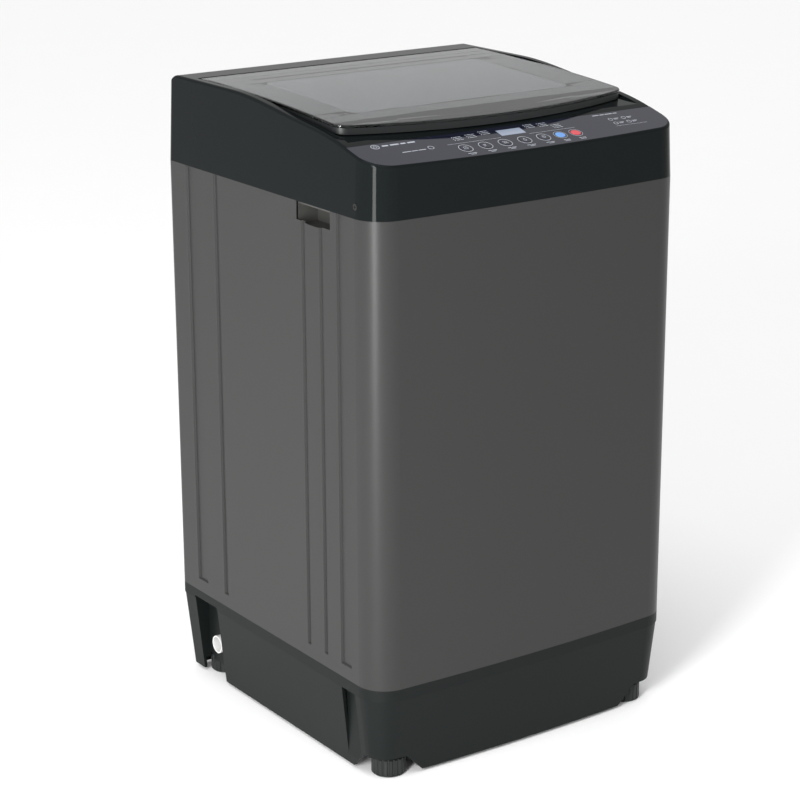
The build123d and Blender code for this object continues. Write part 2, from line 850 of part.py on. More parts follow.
with BuildPart() as control_tray:
    with BuildSketch(panel_plane(0, tray_y, -cover_wall - 0.1)):
        Rectangle(tray_width, tray_depth)
    extrude(amount=-(tray_floor - cover_wall - 0.1))
    with BuildSketch(panel_plane(0, tray_y, 0)):
        Rectangle(tray_width - 2 * tray_wall, tray_depth - 2 * tray_wall)
    extrude(amount=-(tray_floor - tray_wall), mode=Mode.SUBTRACT)
    with BuildSketch(panel_plane(0, tray_y, -board_drop - board_thickness)):
        with GridLocations(board_width - 14.0, board_depth - 12.0, 2, 2):
            Circle(3.0)
    extrude(amount=-(tray_floor - tray_wall - board_drop - board_thickness))
save(control_tray.part, "control_tray")

# Detergent drawer and its housing, behind the drum opening ----------------------------------
housing_front = drawer_front + 27.0
with BuildPart() as drawer_housing:
    with Locations((0, housing_front, (drawer_bottom + drawer_top) / 2)):
        Box(
            2 * (drawer_half_width + drawer_gap + housing_wall),
            drawer_rear + drawer_gap + housing_wall - housing_front,
            drawer_top - drawer_bottom + 2 * (drawer_gap + housing_wall),
            align=(Align.CENTER, Align.MIN, Align.CENTER),
        )
        Box(
            2 * (drawer_half_width + drawer_gap),
            2 * (drawer_rear + drawer_gap - housing_front),
            drawer_top - drawer_bottom + 2 * drawer_gap,
            mode=Mode.SUBTRACT,
        )
save(drawer_housing.part, "drawer_housing")

with BuildPart() as detergent_drawer:
    with Locations((0, drawer_front, drawer_bottom)):
        Box(
            2 * drawer_half_width,
            drawer_rear - drawer_front,
            drawer_top - drawer_bottom,
            align=(Align.CENTER, Align.MIN, Align.MIN),
        )
    for side in (-1, 1):
        with Locations(
            (side * drawer_half_width / 2, (drawer_front + drawer_rear) / 2 + 2.0, drawer_bottom + drawer_wall)
        ):
            Box(
                drawer_half_width - 1.5 * drawer_wall,
                drawer_rear - drawer_front - 3 * drawer_wall - 2.0,
                drawer_top - drawer_bottom,
                align=(Align.CENTER, Align.CENTER, Align.MIN),
                mode=Mode.SUBTRACT,
            )
    with BuildSketch(Plane.XZ.offset(-drawer_front)):
        with Locations((0, drawer_bottom)):
            SlotOverall(50.0, 16.0)
    extrude(amount=-3.0, mode=Mode.SUBTRACT)
save(detergent_drawer.part, "detergent_drawer")

# Water inlet: an open cup in the cover's rear wall and the valve behind it --------------------
with BuildPart() as inlet_cup:
    with BuildSketch(Plane.XZ.offset(-inlet_floor)):
        with Locations((inlet_x, inlet_z)):
            Rectangle(2 * (inlet_half - cup_fit), 2 * (inlet_half - cup_fit))
    extrude(amount=-(half_depth - 5.0 - inlet_floor))
    with BuildSketch(Plane.XZ.offset(-(inlet_floor + cup_wall))):
        with Locations((inlet_x, inlet_z)):
            Rectangle(2 * (inlet_half - cup_fit - cup_wall), 2 * (inlet_half - cup_fit - cup_wall))
    extrude(amount=-(half_depth - inlet_floor), mode=Mode.SUBTRACT)
    with BuildSketch(Plane.XZ.offset(-(inlet_floor - 1.0))):
        with Locations((inlet_x, inlet_z)):
            Circle(spigot_shoulder)
    extrude(amount=-10.0, mode=Mode.SUBTRACT)
save(inlet_cup.part, "inlet_cup")

with BuildPart() as inlet_valve:
    with BuildSketch(Plane.XZ.offset(-(inlet_floor - 34.0))):
        with Locations((inlet_x, inlet_z)):
            Circle(spigot_shoulder + 1.5)
    extrude(amount=-34.0)
    with BuildSketch(Plane.XZ.offset(-inlet_floor)):
        with Locations((inlet_x, inlet_z)):
            Circle(spigot_shoulder)
    extrude(amount=-cup_wall)
    with BuildSketch(Plane.XZ.offset(-inlet_floor)):
        with Locations((inlet_x, inlet_z)):
            Circle(spigot_radius)
    extrude(amount=-(spigot_end - inlet_floor))
    with BuildSketch(Plane.XZ.offset(-(spigot_end - 18.0))):
        with Locations((inlet_x, inlet_z)):
            Circle(spigot_radius - 3.4)
    extrude(amount=-20.0, mode=Mode.SUBTRACT)
    with Locations((inlet_x, inlet_floor - 22.0, inlet_z - 28.0)):
        Box(22.0, 20.0, 26.0)
save(inlet_valve.part, "inlet_valve")

with BuildPart() as lid_switch:
    with Locations((-recess_half + 30.0, lid_rear + seam + cover_wall + 0.4, gutter_floor)):
        Box(34.0, 14.0, 13.0, align=(Align.CENTER, Align.MIN, Align.MAX))
    with Locations((-recess_half + 30.0, lid_rear + seam + cover_wall + 7.0, gutter_floor - 13.0)):
        Box(18.0, 6.0, 8.0, align=(Align.CENTER, Align.CENTER, Align.MAX))
save(lid_switch.part, "lid_switch")

# Lid: glass panel, moulded frame under it, hinge pins -----------------------------------------
with BuildPart() as lid_glass:
    with BuildSketch(Plane.XY.offset(lid_front_z - 40.0)):
        add(lid_full_plan)
    extrude(amount=90.0)
    with BuildSketch(Plane.YZ):
        add(glass_side)
    extrude(amount=width, both=True, mode=Mode.INTERSECT)
    with BuildSketch(Plane.YZ):
        add(lid_top_side)
    extrude(amount=width, both=True, mode=Mode.SUBTRACT)
    glass_rim = lid_glass.faces().sort_by(SortBy.AREA)[-2:].sort_by(Axis.Z)[-1].edges()
    fillet(glass_rim, 1.5)
save(lid_glass.part, "lid_glass")

with BuildPart() as frame_hollow:
    with BuildSketch(Plane.XY.offset(lid_base_front_z - 40.0)):
        add(frame_inner_plan)
        with Locations((0, (window_front + window_rear) / 2)):
            RectangleRounded(
                2 * window_half_x + 6.0,
                window_rear - window_front + 6.0,
                17.0,
                mode=Mode.SUBTRACT,
            )
    extrude(amount=90.0)
    with BuildSketch(Plane.YZ):
        add(lid_curve(deck_height, lid_middle_z, lid_front_z, -glass - frame_web))
    extrude(amount=width, both=True, mode=Mode.SUBTRACT)

with BuildPart() as lid_frame:
    with BuildSketch(Plane.XY.offset(lid_base_front_z - 40.0)):
        add(frame_plan)
    extrude(amount=90.0)
    with BuildSketch(Plane.YZ):
        add(lid_underside)
    extrude(amount=width, both=True, mode=Mode.INTERSECT)
    with BuildSketch(Plane.YZ):
        add(glass_side)
    extrude(amount=width, both=True, mode=Mode.SUBTRACT)
    with BuildSketch(Plane.XY.offset(lid_base_front_z - 40.0)):
        with Locations((0, (window_front + window_rear) / 2)):
            RectangleRounded(2 * window_half_x, window_rear - window_front, 14.0)
    extrude(amount=90.0, mode=Mode.SUBTRACT)
    add(frame_hollow.part, mode=Mode.SUBTRACT)
    for side in (-1, 1):
        with BuildSketch(Plane.YZ.offset(side * (lid_half_width - 1.0))):
            with Locations((hinge_y, hinge_z)):
                Circle(pin_radius)
        extrude(amount=-side * 14.0, mode=Mode.SUBTRACT)
save(lid_frame.part, "lid_frame")

with BuildPart() as lid_hinge_pins:
    for side in (-1, 1):
        with BuildSketch(Plane.YZ.offset(side * (recess_half + cover_wall - 0.5))):
            with Locations((hinge_y, hinge_z)):
                Circle(pin_radius)
        extrude(amount=-side * (cover_wall - 0.5 + lid_side_gap + 15.0))
save(lid_hinge_pins.part, "lid_hinge_pins")

# Outer tub: floor, wall, ribs, bearing boss and the four hanging lugs -------------------------
with BuildPart() as outer_tub:
    with BuildSketch(Plane.XY.offset(tub_bottom)):
        Circle(tub_radius)
    extrude(amount=tub_top - tub_bottom)
    with BuildSketch(Plane.XY.offset(plate_top)):
        Circle(boss_radius)
    extrude(amount=tub_floor + rib_height)
    with BuildSketch(Plane.XY.offset(plate_top)):
        with PolarLocations((tub_radius + boss_radius) / 2 - 4.0, 12):
            Rectangle(tub_radius - boss_radius - 4.0, tub_wall)
    extrude(amount=rib_height)
    with BuildSketch(Plane.XY.offset(tub_top - 4.0)):
        Circle(tub_radius + 4.0)
    extrude(amount=4.0)
    with BuildSketch(Plane.XY.offset(lug_bottom)):
        with PolarLocations(lug_reach - 18.0, 4, start_angle=45.0):
            RectangleRounded(58.0, 30.0, 8.0)
    extrude(amount=lug_height)
    with BuildSketch(Plane.XY.offset(tub_bottom + tub_floor)):
        Circle(tub_radius - tub_wall)
    extrude(amount=tub_top, mode=Mode.SUBTRACT)
    with BuildSketch(Plane.XY.offset(plate_top)):
        Circle(spin_shaft_radius + 2.0)
        with Locations((drain_x, drain_y)):
            Circle(drain_pipe - 1.5)
        with PolarLocations(lug_reach, 4, start_angle=45.0):
            Circle(rod_radius + 1.0)
    extrude(amount=lug_bottom, mode=Mode.SUBTRACT)
    with BuildSketch(Plane.XY.offset(plate_top)):
        Circle(bearing_radius)
    extrude(amount=bearing_height, mode=Mode.SUBTRACT)
save(outer_tub.part, "outer_tub")

with BuildPart() as tub_ring:
    with BuildSketch(Plane.XY.offset(tub_top)):
        Circle(tub_radius + 4.0)
        Circle(tub_radius - tub_wall, mode=Mode.SUBTRACT)
    extrude(amount=tub_ring_height)
    with BuildSketch(Plane.XY.offset(tub_top + tub_ring_height - tub_wall)):
        Circle(tub_radius + 4.0)
        Circle(tub_ring_inner, mode=Mode.SUBTRACT)
    extrude(amount=tub_wall)
    with BuildSketch(Plane.XY.offset(tub_top + 4.0)):
        Circle(tub_ring_inner + tub_wall)
        Circle(tub_ring_inner, mode=Mode.SUBTRACT)
    extrude(amount=tub_ring_height - 4.0)
save(tub_ring.part, "tub_ring")

# Suspension: corner brackets, hanging rods, ball seats, springs and their lower seats -----------
with BuildPart() as corner_brackets:
    with BuildSketch(Plane.XY.offset(bracket_bottom)):
        for x_side, y_side in corners:
            with Locations((x_side * half_width, y_side * half_depth)):
                Rectangle(bracket_size, bracket_size, rotation=45.0)
        add(outline(sheet + groove_depth), mode=Mode.INTERSECT)
        with PolarLocations(lug_reach, 4, start_angle=45.0):
            Circle(rod_radius, mode=Mode.SUBTRACT)
        with Locations((0, half_depth)):
            Rectangle(width, 2 * (half_depth - flange_y) + 0.4, mode=Mode.SUBTRACT)
    extrude(amount=bracket_thickness)
save(corner_brackets.part, "corner_brackets")

seat_bottom = bracket_bottom + bracket_thickness
with BuildPart() as suspension_rods:
    with BuildSketch(Plane.XY.offset(rod_bottom)):
        with PolarLocations(lug_reach, 4, start_angle=45.0):
            Circle(rod_radius)
    extrude(amount=seat_bottom + seat_height - rod_bottom)
    with BuildSketch(Plane.XY.offset(seat_bottom + seat_height)):
        with PolarLocations(lug_reach, 4, start_angle=45.0):
            RegularPolygon(7.5, 6)
    extrude(amount=5.0)
save(suspension_rods.part, "suspension_rods")

with BuildPart() as rod_ball_seats:
    with BuildSketch(Plane.XY.offset(seat_bottom)):
        with PolarLocations(lug_reach, 4, start_angle=45.0):
            Circle(13.0)
    extrude(amount=seat_height, taper=30.0)
    with BuildSketch(Plane.XY.offset(seat_bottom)):
        with PolarLocations(lug_reach, 4, start_angle=45.0):
            Circle(rod_radius)
    extrude(amount=seat_height, mode=Mode.SUBTRACT)
save(rod_ball_seats.part, "rod_ball_seats")

with BuildPart() as spring_seats:
    with BuildSketch(Plane.XY.offset(spring_seat_top - 7.0)):
        with PolarLocations(lug_reach, 4, start_angle=45.0):
            Circle(spring_radius + 4.0)
            Circle(rod_radius, mode=Mode.SUBTRACT)
    extrude(amount=7.0)
save(spring_seats.part, "spring_seats")

spring_height = lug_bottom - spring_seat_top - 2 * spring_gap - 2 * spring_wire
spring_base = spring_seat_top + spring_gap + spring_wire
with BuildPart() as spring_coil:
    with BuildLine():
        coil = Helix(spring_height / spring_turns, spring_height, spring_radius)
    with BuildSketch(Plane(origin=coil @ 0, z_dir=coil % 0)):
        Circle(spring_wire)
    sweep()
with BuildPart() as suspension_springs:
    with PolarLocations(lug_reach, 4, start_angle=45.0):
        add(spring_coil.part.moved(Location((0, 0, spring_base))))
save(suspension_springs.part, "suspension_springs")

# Basket: perforated drum, its hub, balance ring, spin shaft and lint filter ----------------------
with BuildPart() as basket:
    with BuildSketch(Plane.XY.offset(basket_bottom)):
        Circle(basket_radius)
    extrude(amount=basket_top - basket_bottom)
    with BuildSketch(Plane.XY.offset(basket_bottom + basket_wall)):
        Circle(basket_radius - basket_wall)
    extrude(amount=basket_top, mode=Mode.SUBTRACT)
    with BuildSketch(Plane.XY.offset(basket_bottom - 1.0)):
        Circle(drive_shaft_radius + 2.0)
    extrude(amount=10.0, mode=Mode.SUBTRACT)
    for column in range(hole_columns // 2):
        turn = 360.0 * column / hole_columns
        with BuildSketch(Plane.YZ.rotated((0, 0, turn))):
            with Locations((0, (basket_bottom + basket_top - ring_depth) / 2 + 12.0)):
                with GridLocations(0, hole_pitch, 1, hole_rows):
                    Circle(hole_radius)
        extrude(amount=basket_radius + 5.0, both=True, mode=Mode.SUBTRACT)
save(basket.part, "basket")

with BuildPart() as basket_hub:
    with BuildSketch(Plane.XY.offset(hub_bottom)):
        Circle(38.0)
        with PolarLocations(hub_arm / 2, 3):
            Rectangle(hub_arm, 30.0)
        Circle(spin_shaft_radius, mode=Mode.SUBTRACT)
    extrude(amount=basket_bottom - hub_bottom)
    with BuildSketch(Plane.XY.offset(hub_bottom)):
        with PolarLocations(hub_arm / 2 + 22.0, 3):
            Rectangle(hub_arm - 40.0, 20.0)
    extrude(amount=basket_bottom - hub_bottom - 5.0, mode=Mode.SUBTRACT)
save(basket_hub.part, "basket_hub")

with BuildPart() as balance_ring:
    with BuildSketch(Plane.XY.offset(basket_top)):
        Circle(basket_radius + 2.0)
        Circle(ring_inner, mode=Mode.SUBTRACT)
    extrude(amount=ring_top - basket_top)
    fillet(balance_ring.faces().sort_by(Axis.Z)[-1].edges(), 5.0)
    with BuildSketch(Plane.XY.offset(basket_top - ring_depth)):
        Circle(basket_radius - basket_wall)
        Circle(ring_inner, mode=Mode.SUBTRACT)
    extrude(amount=ring_depth)
    fillet(balance_ring.faces().sort_by(Axis.Z)[0].edges().sort_by(SortBy.LENGTH)[0], 6.0)
save(balance_ring.part, "balance_ring")

with BuildPart() as spin_shaft:
    with BuildSketch(Plane.XY.offset(spin_shaft_bottom)):
        Circle(spin_shaft_radius)
        Circle(drive_shaft_radius + shaft_clearance, mode=Mode.SUBTRACT)
    extrude(amount=basket_bottom - spin_shaft_bottom)
save(spin_shaft.part, "spin_shaft")

with BuildPart() as lint_filter:
    with BuildSketch(Plane.XY.offset(filter_bottom)):
        Circle(basket_radius - basket_wall - 0.3)
        with Locations((filter_face, 0)):
            Rectangle(basket_radius, filter_width, align=(Align.MIN, Align.CENTER), mode=Mode.INTERSECT)
    extrude(amount=filter_height)
    with BuildSketch(Plane.YZ.offset(filter_face)):
        with Locations((0, filter_bottom + filter_height / 2)):
            with GridLocations(0, 20.0, 1, 8):
                SlotOverall(filter_width - 16.0, 9.0)
    extrude(amount=4.0, mode=Mode.SUBTRACT)
save(lint_filter.part, "lint_filter")

# Wash drive: pulsator, its screw, the inner shaft and the large pulley ----------------------------
with BuildPart() as pulsator:
    with BuildSketch(Plane.XZ):
        with BuildLine():
            Polyline((0, pulsator_bottom), (pulsator_radius, pulsator_bottom))
            Line((pulsator_radius, pulsator_bottom), (pulsator_radius, pulsator_bottom + pulsator_rim))
            Spline(
                (pulsator_radius, pulsator_bottom + pulsator_rim),
                (pulsator_radius * 0.5, pulsator_bottom + pulsator_rim + 5.0),
                (24.0, pulsator_bottom + pulsator_hump),
            )
            Polyline(
                (24.0, pulsator_bottom + pulsator_hump),
                (0, pulsator_bottom + pulsator_hump),
                (0, pulsator_bottom),
            )
        make_face()
    revolve(axis=Axis.Z)
    for fin in range(fin_count):
        with BuildSketch(Plane.XZ.rotated((0, 0, 360.0 * fin / fin_count))):
            with BuildLine():
                Polyline(
                    (16.0, pulsator_bottom + 4.0),
                    (pulsator_radius - 10.0, pulsator_bottom + 4.0),
                    (pulsator_radius - 12.0, pulsator_bottom + pulsator_rim + 14.0),
                    (60.0, pulsator_bottom + pulsator_rim + 20.0),
                    (16.0, pulsator_bottom + pulsator_hump - 2.0),
                    close=True,
                )
            make_face()
        extrude(amount=6.0, both=True)
    with BuildSketch(Plane.XY.offset(pulsator_bottom)):
        Circle(drive_shaft_radius)
    extrude(amount=drive_shaft_top - pulsator_bottom, mode=Mode.SUBTRACT)
    with BuildSketch(Plane.XY.offset(pulsator_bottom)):
        Circle(screw_radius)
    extrude(amount=pulsator_hump, mode=Mode.SUBTRACT)
save(pulsator.part, "pulsator")

with BuildPart() as pulsator_screw:
    with BuildSketch(Plane.XY.offset(drive_shaft_top - 12.0)):
        Circle(screw_radius)
    extrude(amount=pulsator_bottom + pulsator_hump - drive_shaft_top + 12.0)
    with BuildSketch(Plane.XY.offset(pulsator_bottom + pulsator_hump)):
        Circle(11.0)
    extrude(amount=6.0)
    with BuildSketch(Plane.XY.offset(pulsator_bottom + pulsator_hump + 6.0)):
        Rectangle(14.0, 2.4)
        Rectangle(2.4, 14.0)
    extrude(amount=-3.0, mode=Mode.SUBTRACT)
save(pulsator_screw.part, "pulsator_screw")

with BuildPart() as drive_shaft:
    with BuildSketch(Plane.XY.offset(drive_shaft_bottom)):
        Circle(drive_shaft_radius)
    extrude(amount=drive_shaft_top - drive_shaft_bottom)
    with BuildSketch(Plane.XY.offset(drive_shaft_top)):
        Circle(screw_radius)
    extrude(amount=-12.0, mode=Mode.SUBTRACT)
save(drive_shaft.part, "drive_shaft")


def grooved_pulley(groove_radius, bore):
    """A belt pulley with a groove for the belt, standing at its working height."""
    with BuildPart() as wheel:
        with BuildSketch(Plane.XY.offset(pulley_bottom)):
            Circle(groove_radius + groove_lip)
        extrude(amount=pulley_height)
        with BuildSketch(Plane.XY.offset(belt_middle - belt_height / 2 - belt_gap)):
            Circle(groove_radius + groove_lip + 1.0)
            Circle(groove_radius, mode=Mode.SUBTRACT)
        extrude(amount=belt_height + 2 * belt_gap, mode=Mode.SUBTRACT)
        if bore:
            with BuildSketch(Plane.XY.offset(pulley_bottom)):
                Circle(bore)
            extrude(amount=pulley_height, mode=Mode.SUBTRACT)
    return wheel.part


with BuildPart() as drive_pulley:
    add(grooved_pulley(drive_groove, drive_shaft_radius))
    for level in (pulley_bottom, pulley_bottom + pulley_height - 5.0):
        with BuildSketch(Plane.XY.offset(level)):
            Circle(drive_groove - 6.0)
            Circle(22.0, mode=Mode.SUBTRACT)
        extrude(amount=5.0, mode=Mode.SUBTRACT)
    with BuildSketch(Plane.XY.offset(pulley_bottom)):
        with PolarLocations(39.0, 6):
            Circle(9.0)
    extrude(amount=pulley_height, mode=Mode.SUBTRACT)
save(drive_pulley.part, "drive_pulley")

# Gear case, bearings and mounting plate under the tub ----------------------------------------------
with BuildPart() as mounting_plate:
    with BuildSketch(Plane.XY.offset(plate_top - plate_thickness)):
        Circle(plate_radius)
        Circle(bearing_radius - 4.0, mode=Mode.SUBTRACT)
        with Locations((drain_x, drain_y)):
            Circle(valve_radius, mode=Mode.SUBTRACT)
    extrude(amount=plate_thickness)
save(mounting_plate.part, "mounting_plate")

plate_bottom = plate_top - plate_thickness
with BuildPart() as gear_case:
    with BuildSketch(Plane.XY.offset(case_bottom)):
        Circle(case_radius)
    extrude(amount=plate_bottom - case_bottom)
    with BuildSketch(Plane.XY.offset(plate_bottom - 6.0)):
        Circle(case_radius + 14.0)
    extrude(amount=6.0)
    with BuildSketch(Plane.XY.offset(case_bottom + 12.0)):
        with PolarLocations(case_radius + 2.0, 8):
            Rectangle(8.0, 4.0)
    extrude(amount=plate_bottom - case_bottom - 14.0)
    with BuildSketch(Plane.XY.offset(case_bottom)):
        Circle(drive_shaft_radius + 1.5)
    extrude(amount=plate_bottom, mode=Mode.SUBTRACT)
    with BuildSketch(Plane.XY.offset(spin_shaft_bottom - 4.0)):
        Circle(bearing_radius)
    extrude(amount=plate_bottom, mode=Mode.SUBTRACT)
save(gear_case.part, "gear_case")

with BuildPart() as bearings:
    with BuildSketch(Plane.XY.offset(plate_top), Plane.XY.offset(spin_shaft_bottom + 4.0)):
        Circle(bearing_radius)
        Circle(spin_shaft_radius + shaft_clearance, mode=Mode.SUBTRACT)
    extrude(amount=bearing_height)
save(bearings.part, "bearings")

# Motor, its pulley and the drive belt -----------------------------------------------------------------
with BuildPart() as motor:
    with BuildSketch(Plane.XY.offset(motor_bottom)):
        with Locations((motor_x, motor_y)):
            Circle(motor_radius - 8.0)
    extrude(amount=motor_top - motor_bottom)
    with BuildSketch(Plane.XY.offset(motor_bottom + 8.0)):
        with Locations((motor_x, motor_y)):
            Circle(motor_radius)
            with PolarLocations(motor_radius + 1.0, 24):
                Rectangle(3.0, 2.4, mode=Mode.SUBTRACT)
    extrude(amount=motor_top - motor_bottom - 16.0)
    with BuildSketch(Plane.XY.offset(motor_top - 10.0)):
        with Locations((motor_x, motor_y)):
            with PolarLocations(motor_radius - 18.0, 3):
                Circle(6.0)
    extrude(amount=plate_bottom - motor_top + 10.0)
    with BuildSketch(Plane.XY.offset(motor_bottom)):
        with Locations((motor_x, motor_y)):
            Circle(motor_shaft_radius + shaft_clearance)
    extrude(amount=16.0, mode=Mode.SUBTRACT)
save(motor.part, "motor")

with BuildPart() as motor_pulley:
    add(grooved_pulley(motor_groove, 0).moved(Location((motor_x, motor_y, 0))))
    with BuildSketch(Plane.XY.offset(pulley_bottom + pulley_height)):
        with Locations((motor_x, motor_y)):
            Circle(motor_shaft_radius)
    extrude(amount=motor_bottom - pulley_bottom - pulley_height + 14.0)
save(motor_pulley.part, "motor_pulley")

with BuildPart() as drive_belt:
    for growth, mode in ((belt_thickness, Mode.ADD), (0.0, Mode.SUBTRACT)):
        with BuildSketch(Plane.XY.offset(belt_middle - belt_height / 2)):
            Circle(drive_groove + belt_gap + growth)
            with Locations((motor_x, motor_y)):
                Circle(motor_groove + belt_gap + growth)
            make_hull()
        extrude(amount=belt_height, mode=mode)
save(drive_belt.part, "drive_belt")

# Drain: valve under the tub, and the boot and hose that lead to the spigot ------------------------------
with BuildPart() as drain_valve:
    with BuildSketch(Plane.XY.offset(valve_bottom)):
        with Locations((drain_x, drain_y)):
            Circle(valve_radius - 1.0)
    extrude(amount=plate_bottom - valve_bottom)
    with BuildSketch(Plane.XY.offset(nozzle_bottom)):
        with Locations((drain_x, drain_y)):
            Circle(drain_pipe - hose_clearance)
    extrude(amount=tub_bottom - nozzle_bottom)
    with Locations((drain_x, drain_y - valve_radius - 16.0, valve_bottom + 26.0)):
        Box(26.0, 36.0, 30.0)
    with BuildSketch(Plane.XY.offset(nozzle_bottom)):
        with Locations((drain_x, drain_y)):
            Circle(drain_pipe - hose_clearance - 2.5)
    extrude(amount=valve_bottom - nozzle_bottom + 4.0, mode=Mode.SUBTRACT)
save(drain_valve.part, "drain_valve")

with BuildPart() as drain_hose:
    with BuildSketch(Plane.XY.offset(boot_bottom)):
        with Locations((drain_x, drain_y)):
            Circle(boot_radius)
    extrude(amount=boot_top - boot_bottom)
    with BuildLine():
        FilletPolyline(
            (drain_x, drain_y + boot_radius - 4.0, drain_z),
            (drain_x, spigot_y, drain_z),
            (spigot_flange_x + 4.0, spigot_y, drain_z),
            radius=28.0,
        )
    with BuildSketch(Plane.XZ.offset(-(drain_y + boot_radius - 4.0))):
        with Locations((drain_x, drain_z)):
            Circle(drain_pipe + hose_wall)
            Circle(drain_pipe, mode=Mode.SUBTRACT)
    sweep()
    with BuildSketch(Plane.XY.offset(boot_bottom + hose_wall)):
        with Locations((drain_x, drain_y)):
            Circle(boot_radius - hose_wall)
    extrude(amount=boot_top, mode=Mode.SUBTRACT)
    with BuildSketch(Plane.XZ.offset(-drain_y)):
        with Locations((drain_x, drain_z)):
            Circle(drain_pipe)
    extrude(amount=-boot_radius, mode=Mode.SUBTRACT)
save(drain_hose.part, "drain_hose")
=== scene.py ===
"""Looks of a top load washing machine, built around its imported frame.

Every piece is in metres in the frame's own axes: +X to the machine's right, +Y to the
rear, +Z up, with the origin on the floor under the middle of the machine.
"""
import json
import logging
import math
from dataclasses import dataclass, field
from enum import Enum

import bpy
import numpy as np
from mathutils import Euler, Matrix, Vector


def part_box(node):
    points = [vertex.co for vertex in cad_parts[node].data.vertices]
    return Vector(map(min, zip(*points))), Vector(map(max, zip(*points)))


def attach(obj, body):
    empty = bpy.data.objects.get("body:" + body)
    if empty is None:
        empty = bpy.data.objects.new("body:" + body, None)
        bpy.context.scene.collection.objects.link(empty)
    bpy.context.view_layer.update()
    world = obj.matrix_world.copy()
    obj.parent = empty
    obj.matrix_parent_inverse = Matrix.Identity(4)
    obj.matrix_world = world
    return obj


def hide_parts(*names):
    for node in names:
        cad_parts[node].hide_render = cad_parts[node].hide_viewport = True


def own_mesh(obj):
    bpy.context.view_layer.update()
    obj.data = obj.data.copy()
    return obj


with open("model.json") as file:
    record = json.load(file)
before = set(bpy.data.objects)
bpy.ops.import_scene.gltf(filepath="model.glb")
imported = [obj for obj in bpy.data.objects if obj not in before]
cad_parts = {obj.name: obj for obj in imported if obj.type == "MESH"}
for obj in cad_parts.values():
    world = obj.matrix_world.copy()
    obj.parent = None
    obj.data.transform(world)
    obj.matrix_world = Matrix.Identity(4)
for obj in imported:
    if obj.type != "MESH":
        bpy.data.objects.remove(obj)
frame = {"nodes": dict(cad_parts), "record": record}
LOG = logging.getLogger("washer")
Colour = tuple[float, float, float]


def grey(level: float, warmth: float = 0.0) -> Colour:
    """A grey of the given linear level, warmer for a positive warmth."""
    return (level * (1.0 + warmth), level, level * (1.0 - warmth))


# Shared shader groups -------------------------------------------------------------


class NodeGroup:
    """A shader node group under construction, with short ways to add and join nodes."""

    def __init__(self, name: str) -> None:
        """Starts an empty group of the given name."""
        self.tree = bpy.data.node_groups.new(name, "ShaderNodeTree")
        self.inputs = self.tree.nodes.new("NodeGroupInput")
        self.outputs = self.tree.nodes.new("NodeGroupOutput")

    def takes(self, name: str, kind: str, default: object = None) -> None:
        """Adds a named input socket of a kind such as NodeSocketFloat."""
        socket = self.tree.interface.new_socket(name=name, in_out="INPUT", socket_type=kind)
        if default is not None:
            socket.default_value = default

    def gives(self, name: str, kind: str) -> None:
        """Adds a named output socket of a kind such as NodeSocketColor."""
        self.tree.interface.new_socket(name=name, in_out="OUTPUT", socket_type=kind)

    def node(self, kind: str, **values: object) -> bpy.types.Node:
        """Adds a node and sets its plain attributes.

        Args:
            kind: the node's bl_idname.
            **values: attributes of the node itself, such as operation.

        Returns:
            The new node.
        """
        made = self.tree.nodes.new(kind)
        for key, value in values.items():
            setattr(made, key, value)
        return made

    def join(self, source: bpy.types.NodeSocket, target: bpy.types.NodeSocket) -> None:
        """Links an output socket to an input socket."""
        self.tree.links.new(source, target)


def make_drift_group() -> bpy.types.NodeTree:
    """Builds the group that lets a colour and a roughness wander slowly over a surface.

    Returns:
        A group with inputs Colour, Spread, Size and Roughness, and outputs Colour and
        Roughness. Colour is scaled by 1 plus Spread times a slow noise centred on zero.
    """
    group = NodeGroup("slow_drift")
    group.takes("Colour", "NodeSocketColor", (0.5, 0.5, 0.5, 1.0))
    group.takes("Spread", "NodeSocketFloat", 0.1)
    group.takes("Size", "NodeSocketFloat", 4.0)
    group.takes("Roughness", "NodeSocketFloat", 0.4)
    group.gives("Colour", "NodeSocketColor")
    group.gives("Roughness", "NodeSocketFloat")
    place = group.node("ShaderNodeTexCoord")
    noise = group.node("ShaderNodeTexNoise")
    noise.inputs["Detail"].default_value = 3.0
    group.join(place.outputs["Object"], noise.inputs["Vector"])
    group.join(group.inputs.outputs["Size"], noise.inputs["Scale"])
    centred = group.node("ShaderNodeMath", operation="SUBTRACT")
    centred.inputs[1].default_value = 0.5
    group.join(noise.outputs["Fac"], centred.inputs[0])
    scaled = group.node("ShaderNodeMath", operation="MULTIPLY_ADD")
    scaled.inputs[2].default_value = 1.0
    group.join(centred.outputs[0], scaled.inputs[0])
    group.join(group.inputs.outputs["Spread"], scaled.inputs[1])
    tint = group.node("ShaderNodeVectorMath", operation="SCALE")
    group.join(group.inputs.outputs["Colour"], tint.inputs[0])
    group.join(scaled.outputs[0], tint.inputs["Scale"])
    group.join(tint.outputs[0], group.outputs.inputs["Colour"])
    rough = group.node("ShaderNodeMath", operation="MULTIPLY", use_clamp=True)
    group.join(group.inputs.outputs["Roughness"], rough.inputs[0])
    group.join(scaled.outputs[0], rough.inputs[1])
    group.join(rough.outputs[0], group.outputs.inputs["Roughness"])
    return group.tree


